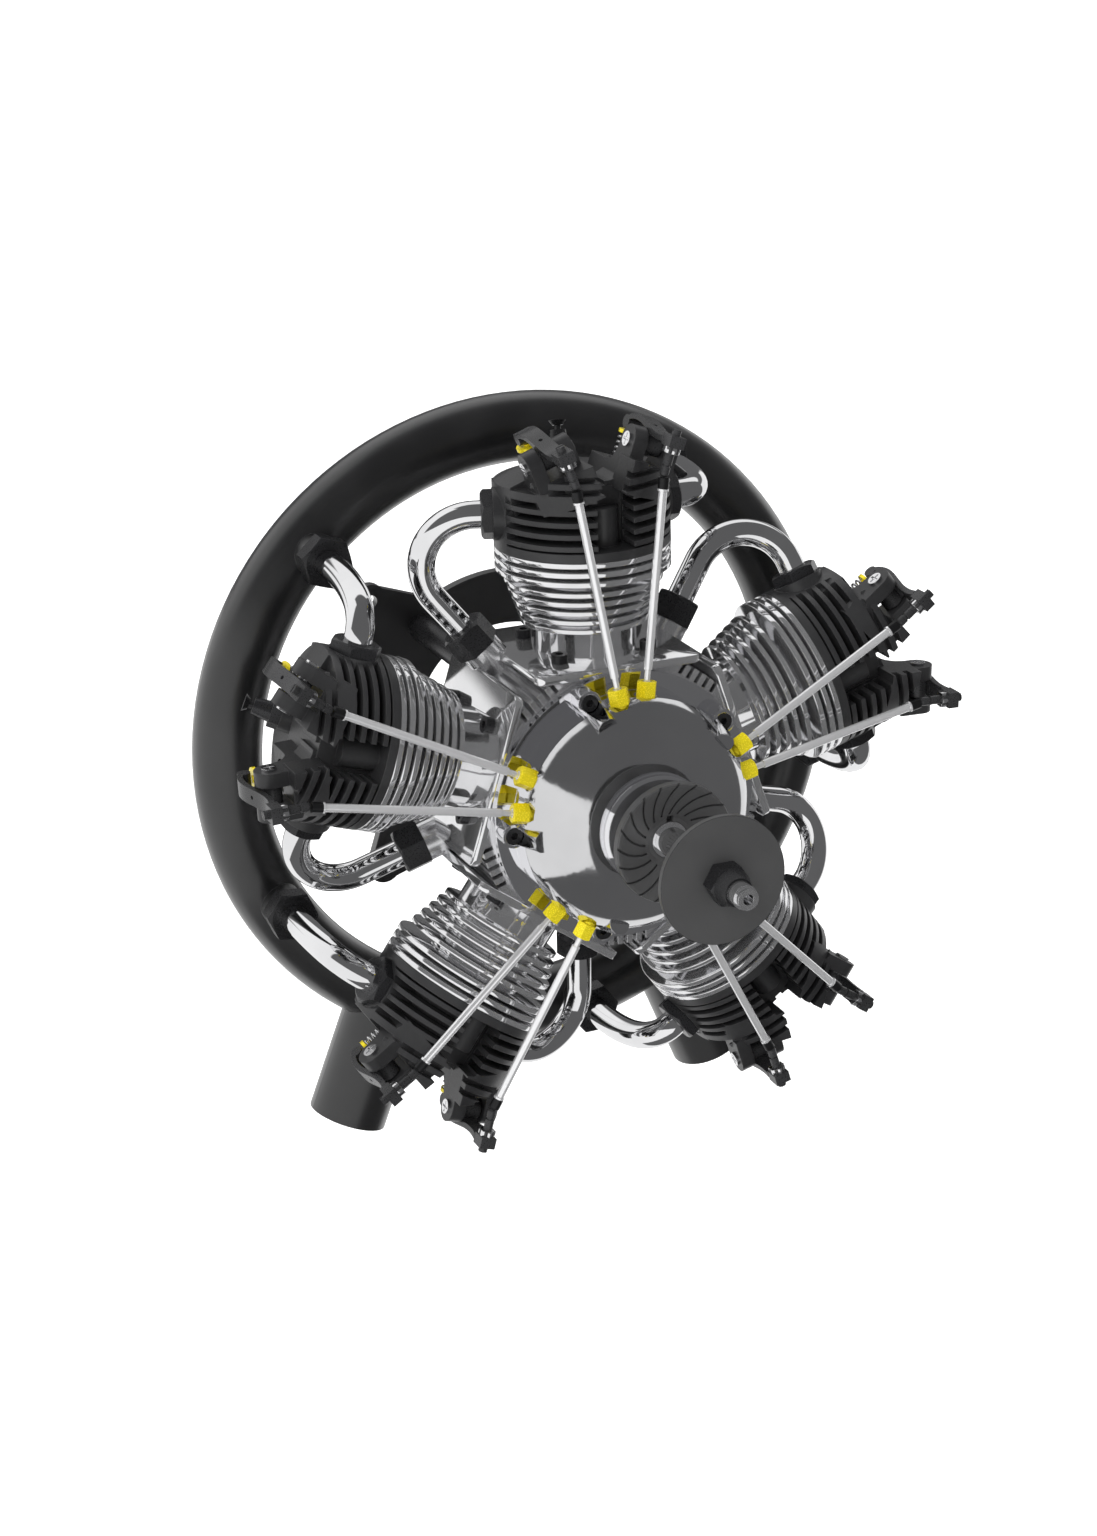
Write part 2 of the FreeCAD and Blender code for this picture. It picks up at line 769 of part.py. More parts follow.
def head_cuts(side):
    """What is cut for one valve: slot, spring well, guide, seat, port and rocker shaft."""
    port_bend = (port_height - rocker_height) / math.cos(tilt)
    seat_height = -valve_head_drop + valve_seat_gap
    over = -slot_floor * 2
    cuts = [
        box(-slot_half, slot_half, -box_front - over, box_rear - 3, slot_floor, over),
        rod(V(0, valve_reach, spring_well_floor), V(0, valve_reach, over), spring_well_radius),
        rod(V(0, valve_reach, seat_height), V(0, valve_reach, 0), stem_radius + running_clearance),
        rod(V(0, valve_reach, seat_height - over), V(0, valve_reach, seat_height), valve_head_radius),
        Part.makeCone(valve_head_radius, port_radius - 0.2, valve_head_radius - port_radius + 0.2,
                      V(0, valve_reach, seat_height)),
        rod(V(0, valve_reach, seat_height), V(0, valve_reach, port_bend), port_radius),
        Part.makeSphere(port_radius + 0.15, V(0, valve_reach, port_bend)),
        rod(V(-box_half * 2, 0, 0), V(box_half * 2, 0, 0), rocker_shaft_radius + seat_clearance)]
    cuts = [tilted(cutter, side) for cutter in cuts]
    face = port_face(side)
    way = port_axis(side)
    inside = face - way * port_depth
    cuts.append(rod(face, face + way * gland_height,
                    gland_flats[side_index(side)] / math.sqrt(3) + spot_face_clearance))
    cuts.append(rod(inside, face + way, pipe_radius[side_index(side)] + seat_clearance))
    cuts.append(rod(from_rocker(side, V(0, valve_reach, port_bend)), inside + way, port_radius))
    return cuts


def head():
    """Finned head with two rocker boxes, a valley between them and a plug boss behind it."""
    base = rod(V(0, 0, head_seat), V(0, 0, head_seat + head_base_thickness), head_radius)
    core = rod(V(0, 0, head_seat + 1), V(0, 0, head_deck), head_core_radius)
    deck = rod(V(0, 0, head_deck - deck_thickness), V(0, 0, head_deck), head_radius)
    pieces = [core, deck]
    for i in range(head_fins):
        middle = head_seat + head_fin_first + head_fin_pitch * i
        pieces.append(rod(V(0, 0, middle - head_fin_thickness / 2),
                          V(0, 0, middle + head_fin_thickness / 2),
                          head_radius))
    outline = rod(V(0, 0, head_seat), V(0, 0, rocker_height), head_radius)
    for side in (1, -1):
        block = box(-head_radius, -head_radius + side_block_depth, -side_block_front, side_block_rear,
                    head_seat, head_deck)
        pieces.append((block if side > 0 else turned(block, 180).mirror(V(0, 0, 0),
                                                                        V(0, 0, 1))).common(outline))
        near, far = (-shelf_outer, -slot_half) if side > 0 else (slot_half, shelf_outer)
        shelf = box(near, far, shelf_front, shelf_rear, box_base, shelf_top)
        pieces.append(tilted(shelf, side).common(outline))
    body = base.fuse(pieces)
    body = body.cut(box(-head_radius, head_radius, rear_step, head_radius, head_deck - rear_step_depth,
                        rocker_height))
    valley_top = rocker_height + ear_radius * 2
    valley = box(-valley_half, valley_half, -head_radius - 5, -valley_back,
                 head_seat + head_base_thickness, valley_top)
    body = body.cut(valley)
    column = rod(V(0, -valley_back, head_seat + 1), V(0, -valley_back, head_seat + column_height),
                 column_radius)
    above = box(-head_radius * 2, head_radius * 2, -head_radius * 2, head_radius * 2,
                head_deck + ear_overhang, rocker_height * 2)
    boxes = [tilted(rocker_box(), side).common(outline.fuse(above)) for side in (1, -1)]
    plug_boss = rod(plug_foot + plug_axis * 4, plug_top, plug_hex_flats / 2 + 0.6)
    bosses = []
    for side in (1, -1):
        face = port_face(side)
        bosses.append(rod(face - port_axis(side) * port_boss_length, face, port_boss_radius))
        bosses.append(box_fins(side))
        bosses.append(inner_block(side))
    body = body.fuse([column, plug_boss] + boxes + bosses)

    roof_radius = (bore_radius ** 2 + chamber_height ** 2) / (2 * chamber_height)
    chamber = Part.makeSphere(roof_radius, V(0, 0, head_seat + chamber_height - roof_radius))
    cuts = [chamber.common(rod(V(0, 0, 0), V(0, 0, rocker_height), bore_radius + 2))]
    cuts.extend(head_cuts(1) + head_cuts(-1))
    cuts.append(rod(plug_foot - plug_axis * 4, plug_top + plug_axis, plug_thread_radius + seat_clearance))
    cuts.append(rod(plug_top, plug_top + plug_axis * 12, plug_hex_flats / 2 + 1.2))
    for cutter in cuts:
        body = body.cut(cutter)
    return body.removeSplitter()


def rocker_shafts():
    """Both rocker shafts of one head, each with a headed screw at either end."""
    shafts = []
    for side in (1, -1):
        end = box_half + rocker_shaft_head_height
        shaft = rod(V(-box_half, 0, 0), V(box_half, 0, 0), rocker_shaft_radius)
        heads = [rod(V(x, 0, 0), V(x + s * rocker_shaft_head_height, 0, 0), rocker_shaft_head)
                 for x, s in ((-box_half, -1), (box_half, 1))]
        slots = []
        for x in (-end, end):
            slots.append(box(x - 0.4, x + 0.4, -0.35, 0.35, -1.8, 1.8))
            slots.append(box(x - 0.4, x + 0.4, -1.8, 1.8, -0.35, 0.35))
        shafts.append(tilted(fused(shaft, *heads).cut(slots), side))
    return shafts


# Rocker arm with its adjuster
def rocker(side):
    reach = adjuster_reach[side_index(side)]
    pad_centre = stem_tip + valve_gap + pad_radius
    top = rocker_hub_radius + rocker_strip + 0.6
    upper = [V(0, -reach + adjuster_block_half, adjuster_block_top - 1.0), V(0, -3.0, top - 0.4),
             V(0, 6.5, top + 1.5), V(0, valve_reach, pad_centre + pad_radius - 0.3)]
    lower = [point - V(0, 0, rocker_strip) for point in reversed(upper)]
    edges = []
    for points in (upper, lower):
        curve = Part.BSplineCurve()
        curve.interpolate(points)
        edges.append(curve.toShape())
    edges.append(Part.LineSegment(upper[-1], lower[0]).toShape())
    edges.append(Part.LineSegment(lower[-1], upper[0]).toShape())
    face = Part.Face(Part.Wire(Part.__sortEdges__(edges)))
    face.translate(V(-rocker_half, 0, 0))
    strip = face.extrude(V(2 * rocker_half, 0, 0))
    hub = rod(V(-rocker_half, 0, 0), V(rocker_half, 0, 0), rocker_hub_radius)
    neck = box(-rocker_half, rocker_half, -2.2, 2.2, 0, rocker_hub_radius + 1.2)
    pad = rod(V(-rocker_half, valve_reach, pad_centre), V(rocker_half, valve_reach, pad_centre), pad_radius)
    block = box(-adjuster_block_half + 0.3, adjuster_block_half - 0.3, -reach - adjuster_block_half,
                -reach + adjuster_block_half, adjuster_block_floor, adjuster_block_top)
    shaft_hole = rod(V(-9, 0, 0), V(9, 0, 0), rocker_shaft_radius + running_clearance)
    oil_hole = rod(V(0, 0, 0), V(0, 0, 12), 0.7)
    screw_hole = rod(V(0, -reach, 0), V(0, -reach, 12), adjuster_radius + seat_clearance)
    arm = fused(strip, hub, neck, pad, block).cut([shaft_hole, oil_hole, screw_hole])
    nut_top = adjuster_block_floor
    screw = rod(V(0, -reach, -ball_drop), V(0, -reach, adjuster_top), adjuster_radius)
    slot = box(-2, 2, -reach - 0.3, -reach + 0.3, adjuster_top - 0.9, adjuster_top + 1)
    waist = tube(V(0, -reach, -ball_drop + ball_radius + 0.4), V(0, -reach, -ball_drop + ball_radius + 1.2),
                 adjuster_radius + 1, adjuster_radius - 0.4)
    screw = screw.cut([slot, waist]).fuse(Part.makeSphere(ball_radius, V(0, -reach, -ball_drop)))
    nut = hex_nut(V(0, -reach, nut_top), V(0, -reach, nut_top - locknut_height), locknut_flats,
                  adjuster_radius + seat_clearance)
    return [tilted(piece, side) for piece in (arm, screw.removeSplitter(), nut)]


def valve(side):
    """Valve with its spring retainer, closed."""
    stem = rod(V(0, valve_reach, -valve_head_drop), V(0, valve_reach, stem_tip), stem_radius)
    disc = rod(V(0, valve_reach, -valve_head_drop - valve_head_edge), V(0, valve_reach, -valve_head_drop),
               valve_head_radius)
    bevel = valve_head_radius - valve_neck_radius
    seat = Part.makeCone(valve_head_radius, valve_neck_radius, bevel, V(0, valve_reach, -valve_head_drop))
    neck = Part.makeCone(valve_neck_radius, stem_radius, valve_neck_height,
                         V(0, valve_reach, -valve_head_drop + bevel))
    retainer = rod(V(0, valve_reach, stem_tip - 0.4 - retainer_thickness),
                   V(0, valve_reach, stem_tip - 0.4),
                   retainer_radius)
    keeper = Part.makeCone(2.6, 2.0, 1.4, V(0, valve_reach, stem_tip - 1.6 - retainer_thickness))
    return tilted(fused(stem, disc, seat, neck, retainer, keeper), side)


def pushrod(side):
    """Tappet, thin neck, chromed rod and cup collar in one line."""
    foot = guide_point(side)
    direction = rod_direction(side)
    end = ball_point(side) - direction * (ball_radius + ball_gap)
    tappet = rod(foot - direction * tappet_below_guide, foot + direction * guide_below, tappet_radius)
    neck = rod(foot, foot + direction * (rod_start + 1), rod_neck_radius)
    shank = rod(foot + direction * rod_start, end, rod_radius)
    collar = rod(end - direction * rod_collar_length, end, rod_collar_radius)
    return fused(tappet, neck, shank, collar)


def guide(side):
    """Brass hexagon that screws into the nose case and guides the tappet."""
    foot = guide_point(side)
    direction = rod_direction(side)
    nut = hex_nut(foot - direction * guide_below, foot + direction * guide_above, guide_flats,
                  tappet_radius + running_clearance)
    stub = tube(foot - direction * (guide_below + guide_stub_length), foot - direction * guide_below,
                guide_stub_radius, tappet_radius + running_clearance)
    return nut.fuse(stub).removeSplitter()


def spark_plug():
    axis = plug_axis
    hex_top = plug_top + axis * plug_hex_height
    body_top = hex_top + axis * plug_body_height
    thread = rod(plug_foot, plug_top, plug_thread_radius)
    hexagon = hex_prism(plug_top, hex_top, plug_hex_flats)
    body = Part.makeCone(plug_body_radius, plug_body_radius * 0.75, plug_body_height, hex_top, axis)
    neck = rod(body_top, body_top + axis * 1.8, 1.1)
    terminal = Part.makeCone(plug_terminal_radius * 0.6, plug_terminal_radius, 1.6,
                             body_top + axis * 1.6, axis)
    return fused(thread, hexagon, body, neck, terminal)


# Crank train
def crankshaft():
    web_back = -(rod_half_thickness + 1.5 + web_gap)
    web_front = web_back - web_thickness
    shaft = rod(V(0, web_front + 1, 0), V(0, -washer_back, 0), shaft_radius)
    journal = rod(V(0, -gear_front, 0), V(0, -driver_front + driver_dish, 0), nose_journal_radius)
    thread = rod(V(0, -washer_back, 0), V(0, -shaft_tip + 2.0, 0), thread_radius)
    tip = rod(V(0, -shaft_tip + 2.5, 0), V(0, -shaft_tip, 0), tip_radius)
    hole = rod(V(0, -shaft_tip - 1, 0), V(0, -shaft_tip + tip_hole_depth, 0), tip_hole_radius)
    arm = box(-web_half_width, web_half_width, web_front, web_back, -6, throw)
    arm_end = rod(V(0, web_front, throw), V(0, web_back, throw), web_half_width)
    weight = Part.makeCylinder(counterweight_radius, web_thickness, V(0, web_front, 0), V(0, 1, 0),
                               counterweight_angle)
    weight.rotate(V(0, 0, 0), V(0, 1, 0), 180 - counterweight_angle / 2)
    middle = weight.CenterOfMass
    weight.rotate(V(0, 0, 0), V(0, 1, 0), math.degrees(math.atan2(middle.x, middle.z)) * -1 + 180)
    hub = rod(V(0, web_front, 0), V(0, web_back, 0), web_half_width)
    gear = gear_blank(sun_teeth, 0.0)
    return placed(fused(shaft, journal, thread, tip, arm, arm_end, weight, hub, gear).cut(hole))


def involute(angle):
    return math.tan(angle) - angle


def tooth_half_angle(radius, teeth, play):
    """Half angle of a tooth at a radius, its flank pulled back by the play."""
    pitch = gear_module * teeth / 2
    base = pitch * math.cos(math.radians(pressure_angle))
    at_pitch = math.pi / (2 * teeth) + involute(math.radians(pressure_angle))
    roll = math.acos(min(1.0, base / radius))
    return at_pitch - involute(roll) - play / radius


def gear_blank(teeth, first_angle, play=flank_play, inside=False):
    """Spur gear on the crank axis, or the toothed hole of a ring gear."""
    pitch = gear_module * teeth / 2
    low = pitch - gear_module * (addendum if inside else dedendum)
    high = pitch + gear_module * (dedendum if inside else addendum)
    base = pitch * math.cos(math.radians(pressure_angle))
    flank = [max(low, base), pitch, high]
    points = []
    for i in range(teeth):
        middle = first_angle + 2 * math.pi * i / teeth
        rise = [(low, tooth_half_angle(flank[0], teeth, play))] + [
            (radius, tooth_half_angle(radius, teeth, play)) for radius in flank if radius > low + 0.01]
        for radius, half in rise:
            points.append((radius, middle - half))
        for radius, half in reversed(rise):
            points.append((radius, middle + half))
    corners = [V(r * math.sin(a), -gear_back, r * math.cos(a)) for r, a in points]
    return polygon_prism(corners, V(0, -gear_width, 0))


def cam_idler():
    gear = gear_blank(idler_teeth, math.pi / idler_teeth + math.pi)
    hub = rod(V(0, -case_front - 0.1, 0), V(0, -gear_back - 0.5, 0), idler_hub_radius)
    bore = rod(V(0, 0, 0), V(0, -60, 0), idler_pin_radius + running_clearance)
    idler = gear.fuse(hub).cut(bore)
    idler.translate(V(0, 0, gear_centres))
    return placed(idler)


def cam_ring():
    """Internal gear whose outside carries two tracks of lobes."""
    tracks_back = cam_track_front - 2 * cam_track_width
    journal = rod(V(0, -gear_back + 0.8, 0), V(0, -tracks_back, 0), nose_bore_radius - running_clearance)
    ring = journal.fuse(rod(V(0, -tracks_back, 0), V(0, -cam_track_front, 0), cam_base_radius))
    lobes = []
    half_width = cam_lobe_width / 2
    for track in range(2):
        front = cam_track_front - cam_track_width * track
        for i in range(cam_lobes):
            nose = rod(V(0, -front, 0), V(0, -front + cam_track_width, 0), cam_tip_radius)
            spread = math.degrees(half_width / cam_base_radius)
            wedge = polygon_prism([V(0, -front - 1, 0),
                                   polar(-spread, 2 * cam_tip_radius, -front - 1),
                                   polar(spread, 2 * cam_tip_radius, -front - 1)],
                                  V(0, cam_track_width + 2, 0))
            lobe = nose.common(wedge)
            lobes.append(turned(lobe, i * 360.0 / cam_lobes + track * 36.0 + 45.0))
    ring = ring.fuse(lobes)
    teeth = gear_blank(ring_teeth, 0.0, -flank_play, True)
    relief_radius = gear_module * (ring_teeth / 2 + dedendum) + 0.2
    relief = rod(V(0, -gear_front, 0), V(0, -cam_track_front - 1, 0), relief_radius)
    mouth = rod(V(0, -gear_back + 1, 0), V(0, -gear_back - 0.01, 0), relief_radius)
    return placed(ring.cut([teeth, relief, mouth]).removeSplitter())


def bearings():
    """Main bearing in the case wall and nose bearing behind the driver."""
    rings = []
    for front, journal in ((case_front - 1.0, shaft_radius), (lip_front - 1.2, nose_journal_radius)):
        outer = tube(V(0, -front, 0), V(0, -front + bearing_width, 0), bearing_radius, bearing_radius - 1.8)
        inner = tube(V(0, -front, 0), V(0, -front + bearing_width, 0), journal + 1.8,
                     journal + running_clearance)
        cage = tube(V(0, -front + 0.8, 0), V(0, -front + bearing_width - 0.8, 0),
                    bearing_radius - 1.8, journal + 1.8)
        rings.extend(placed(piece) for piece in (outer, inner, cage))
    return rings


def prop_driver():
    back = lip_front + 0.4
    floor = driver_front - driver_dish
    bore = nose_journal_radius + seat_clearance
    dish_inner = nose_journal_radius + 1.4
    dish_outer = driver_radius - 1.2

    def floor_at(radius):
        return floor + driver_dish * (radius - dish_inner) / (dish_outer - dish_inner)

    outline = [(bore, back), (driver_hub_radius, back), (driver_hub_radius, back + 2.0),
               (driver_radius, driver_front - driver_rim), (driver_radius, driver_front - 0.4),
               (driver_radius - 0.4, driver_front), (dish_outer, driver_front),
               (dish_inner, floor), (bore, floor)]
    body = turned_y(outline)
    skin = turned_y([(driver_groove_start, driver_front + 1), (driver_radius + 1, driver_front + 1),
                     (driver_radius + 1, driver_front - driver_groove_depth),
                     (dish_outer, driver_front - driver_groove_depth),
                     (driver_groove_start, floor_at(driver_groove_start) - driver_groove_depth)])
    groove = tube(V(driver_groove_curve, 0, 0), V(driver_groove_curve, -driver_front - 2, 0),
                  driver_groove_curve + driver_groove_width, driver_groove_curve)
    half = box(-driver_radius * 3, driver_radius * 3, -driver_front - 3, 0, 0, driver_radius * 3)
    arc = groove.common(half).common(skin)
    body = body.cut([turned(arc, i * 360.0 / driver_grooves) for i in range(driver_grooves)])
    key = box(-driver_key_width / 2, driver_key_width / 2, -driver_front - 1, -floor + 2.0,
              nose_journal_radius - 0.2, nose_journal_radius + 2.2)
    return placed(body.cut(key))


def prop_washer():
    washer = tube(V(0, -washer_back, 0), V(0, -washer_front, 0), washer_radius,
                  thread_radius + seat_clearance)
    return placed(washer)


def prop_nuts():
    nut = hex_nut(V(0, -washer_front, 0), V(0, -prop_nut_front, 0), prop_nut_flats,
                  thread_radius + seat_clearance)
    collar = Part.makeCone(collar_radius, collar_radius - 1.4, collar_height, V(0, -prop_nut_front, 0),
                           V(0, -1, 0))
    collar = collar.cut(rod(V(0, -prop_nut_front + 1, 0), V(0, -collar_front - 1, 0),
                            thread_radius + seat_clearance))
    return [placed(nut), placed(collar)]


def piston_pin_distance(number):
    """Distance of a gudgeon pin from the crank axis with the top piston at its highest."""
    turn = math.radians(number * cylinder_step)
    link = rod_length - knuckle_radius
    return knuckle_radius + throw * math.cos(turn) + math.sqrt(link ** 2 - (throw * math.sin(turn)) ** 2)


def piston(number):
    pin = piston_pin_distance(number)
    bottom = pin - piston_pin_height
    top = bottom + piston_height
    outside = rod(V(0, 0, bottom), V(0, 0, top), bore_radius - running_clearance)
    inside = rod(V(0, 0, bottom - 1), V(0, 0, top - piston_wall - 1), bore_radius - piston_wall)
    bosses = rod(V(-bore_radius + 1, 0, pin), V(bore_radius - 1, 0, pin), piston_pin_radius + 1.8)
    gap = box(-rod_end_radius, rod_end_radius, -20, 20, bottom - 1, top - piston_wall - 1)
    groove = tube(V(0, 0, top - 4.2), V(0, 0, top - 3.2), bore_radius + 1, bore_radius - 0.8)
    pin_hole = rod(V(-20, 0, pin), V(20, 0, pin), piston_pin_radius + seat_clearance)
    body = outside.cut(inside).fuse(bosses.cut(gap).common(outside)).cut([groove, pin_hole])
    gudgeon = rod(V(-bore_radius + 1.2, 0, pin), V(bore_radius - 1.2, 0, pin), piston_pin_radius)
    return [turned(piece, number * cylinder_step) for piece in (body, gudgeon)]


def connecting_rods():
    """Master rod of the top cylinder, link rods of the others, knuckle pins and crankpin."""
    pieces = []
    half = rod_half_thickness
    pin = V(0, 0, throw)
    big_end = tube(V(0, -half, throw), V(0, half, throw), big_end_radius,
                   crankpin_radius + running_clearance)
    top = V(0, 0, piston_pin_distance(0))
    shank = box(-rod_shank_half, rod_shank_half, -half + 1, half - 1, throw + crankpin_radius + 1.5, top.z)
    small_end = rod(V(-half, 0, top.z), V(half, 0, top.z), rod_end_radius)
    gudgeon_hole = rod(V(-9, 0, top.z), V(9, 0, top.z), piston_pin_radius + running_clearance)
    slots = []
    links = []
    for number in range(1, cylinder_count):
        direction = turned(rod(V(0, 0, 0), V(0, 0, 1), 1), number * cylinder_step).CenterOfMass * 2
        knuckle = pin + direction * knuckle_radius
        far = direction * piston_pin_distance(number)
        slots.append(rod(knuckle - V(0, 1.6, 0), knuckle + V(0, 1.6, 0), rod_end_radius - 1.0))
        slots.append(rod(knuckle - V(0, 9, 0), knuckle + V(0, 9, 0), knuckle_pin_radius + seat_clearance))
        eye = rod(knuckle - V(0, 1.5, 0), knuckle + V(0, 1.5, 0), rod_end_radius - 1.2)
        along = far - knuckle
        side = along.cross(V(0, 1, 0)).normalize() * 1.6
        corner = knuckle - side - V(0, 1.5, 0)
        bar = polygon_prism([corner, corner + along, corner + along + side * 2, corner + side * 2],
                            V(0, 3, 0))
        across = V(direction.z, 0, -direction.x)
        end = rod(far - across * half, far + across * half, rod_end_radius)
        bore = rod(far - across * 9, far + across * 9, piston_pin_radius + running_clearance)
        knuckle_bore = rod(knuckle - V(0, 9, 0), knuckle + V(0, 9, 0),
                           knuckle_pin_radius + running_clearance)
        links.append(fused(eye, bar, end).cut([bore, knuckle_bore]))
        slots.append(polygon_prism([corner - side * 0.3 - V(0, 0.1, 0),
                                    corner + along - side * 0.3 - V(0, 0.1, 0),
                                    corner + along + side * 2.3 - V(0, 0.1, 0),
                                    corner + side * 2.3 - V(0, 0.1, 0)], V(0, 3.2, 0)))
        pieces.append(rod(knuckle - V(0, half, 0), knuckle + V(0, half, 0), knuckle_pin_radius))
    crankpin = rod(V(0, -half - 1.5, throw), V(0, half + 1.5, throw), crankpin_radius)
    master = fused(big_end, shank, small_end).cut([gudgeon_hole] + slots)
    master = max(master.Solids, key=lambda solid: solid.Volume)
    return [master, crankpin] + links + pieces


# Collector ring, plate and rear of the engine
def collector_ring():
    centre = V(0, ring_behind, 0)
    hollow_tube = ring_tube - ring_wall
    outer = Part.makeTorus(ring_radius, ring_tube, centre, V(0, 1, 0))
    inner = Part.makeTorus(ring_radius, hollow_tube, centre, V(0, 1, 0))
    additions = []
    hollows = [inner]
    for side in (-1, 1):
        turn = math.radians(180 + side * stack_angle)
        root = V(ring_radius * math.sin(turn), ring_behind, ring_radius * math.cos(turn))
        splay = math.radians(180 + side * stack_splay)
        direction = V(math.sin(splay), 0, math.cos(splay))
        additions.append(rod(root, root + direction * stack_length, stack_radius))
        hollows.append(rod(root, root + direction * (stack_length + 1), stack_radius - stack_wall))
    boss_back = V(exhaust_out, ring_behind, port_height)
    boss_front = V(exhaust_out, ring_boss_front, port_height)
    for number in range(cylinder_count):
        additions.append(turned(rod(boss_front, boss_back, ring_boss_radius), number * cylinder_step))
        hollows.append(turned(rod(boss_front - V(0, 1, 0), boss_back, pipe_radius[1] + seat_clearance),
                              number * cylinder_step))
    return placed(outer.fuse(additions).cut(hollows).removeSplitter())


def mount_plate():
    ring = rod(V(0, plate_front, 0), V(0, plate_front + plate_thickness, 0), plate_outer)
    arms = []
    holes = [rod(V(0, plate_front - 1, 0), V(0, plate_front + plate_thickness + 1, 0), plate_inner)]
    for i in range(plate_arms):
        angle = 45.0 + 360.0 / plate_arms * i
        tip = polar(0, plate_arm_circle, plate_front)
        root_z = math.sqrt(plate_outer ** 2 - plate_arm_root ** 2) - 0.5
        arm = polygon_prism([V(-plate_arm_root, plate_front, root_z - 6),
                             V(-plate_arm_root, plate_front, root_z),
                             V(-plate_arm_tip, plate_front, tip.z), V(plate_arm_tip, plate_front, tip.z),
                             V(plate_arm_root, plate_front, root_z),
                             V(plate_arm_root, plate_front, root_z - 6)],
                            V(0, plate_thickness, 0))
        end = rod(tip, tip + V(0, plate_thickness, 0), plate_arm_tip)
        arms.extend([turned(arm, angle), turned(end, angle)])
        hole = rod(tip - V(0, 1, 0), tip + V(0, plate_thickness + 1, 0), plate_hole_radius)
        holes.append(turned(hole, angle))
    for number in range(cylinder_count):
        hole = polar(standoff_angle, standoff_circle, plate_front - 1)
        holes.append(turned(rod(hole, hole + V(0, plate_thickness + 2, 0), standoff_hole_radius),
                            number * cylinder_step))
    return placed(fused(ring, *arms).cut(holes))


def standoff():
    front = polar(standoff_angle, standoff_circle, case_rear)
    return tube(front, V(front.x, plate_front, front.z), standoff_radius, standoff_hole_radius)


def rear_cover():
    face = case_rear + cover_thickness
    cover = rod(V(0, case_rear, 0), V(0, face, 0), cover_radius)
    spigot = rod(V(0, case_rear - cover_spigot, 0), V(0, case_rear, 0),
                 case_cavity_radius - running_clearance)
    hollow = rod(V(0, case_rear - cover_spigot - 1, 0), V(0, case_rear, 0), case_cavity_radius - 3)
    boss = rod(V(0, face, 0), V(0, face + cover_boss_height, 0), cover_boss_radius)
    passage = rod(V(0, case_rear - 1, 0), V(0, face + cover_boss_height + 1, 0), carb_bore_radius)
    cuts = [passage]
    for number in range(cylinder_count):
        screw = polar(0, cover_screw_circle, case_rear - 1)
        cuts.append(turned(rod(screw, screw + V(0, cover_thickness + 2, 0), screw_hole_radius),
                           number * cylinder_step))
        lug = polar(standoff_angle, standoff_circle, case_rear - 1)
        cuts.append(turned(rod(lug, lug + V(0, 20, 0), standoff_radius + 0.3), number * cylinder_step))
    return placed(fused(cover, spigot.cut(hollow), boss).cut(cuts))


def carburettor():
    face = case_rear + cover_thickness + cover_boss_height
    end = face + carb_length
    middle = face + carb_length / 2
    body = rod(V(0, face, 0), V(0, end, 0), carb_body_radius)
    horn = Part.makeCone(carb_body_radius, carb_horn_radius, carb_horn_length,
                         V(0, end - carb_horn_length, 0), V(0, 1, 0))
    housing = rod(V(-carb_housing_half, middle, 0), V(carb_housing_half, middle, 0), carb_housing_radius)
    needle = rod(V(0, middle, 0), V(0, middle, -carb_housing_radius - needle_length), needle_radius + 1.2)
    bore = rod(V(0, face - 1, 0), V(0, end + 1, 0), carb_bore_radius)
    mouth = Part.makeCone(carb_bore_radius, carb_horn_radius - 1.2, 6.0, V(0, end - 6.0, 0), V(0, 1, 0))
    drum = rod(V(-carb_housing_half + 2, middle, 0), V(carb_housing_half + 1, middle, 0),
               carb_drum_radius + running_clearance)
    return placed(fused(body, horn, housing, needle).cut([bore, mouth, drum]))


def throttle_drum():
    middle = case_rear + cover_thickness + cover_boss_height + carb_length / 2
    start = -carb_housing_half + 2.1
    drum = rod(V(start, middle, 0), V(carb_housing_half + 0.3, middle, 0), carb_drum_radius)
    arm = box(carb_housing_half + 0.3, carb_housing_half + 0.3 + throttle_arm_thickness,
              middle - throttle_arm_half, middle + throttle_arm_half, 0, throttle_arm_length)
    arm_end = rod(V(carb_housing_half + 0.3, middle, throttle_arm_length),
                  V(carb_housing_half + 0.3 + throttle_arm_thickness, middle, throttle_arm_length),
                  throttle_arm_half)
    arm_root = rod(V(carb_housing_half + 0.3, middle, 0),
                   V(carb_housing_half + 0.3 + throttle_arm_thickness, middle, 0), 4.0)
    venturi = rod(V(0, middle - 20, 0), V(0, middle + 20, 0), carb_bore_radius)
    arm_outside = carb_housing_half + throttle_arm_thickness + 1
    link_hole = rod(V(0, middle, throttle_arm_length), V(arm_outside, middle, throttle_arm_length),
                    throttle_hole_radius)
    return placed(fused(drum, arm, arm_end, arm_root).cut([venturi, link_hole]))


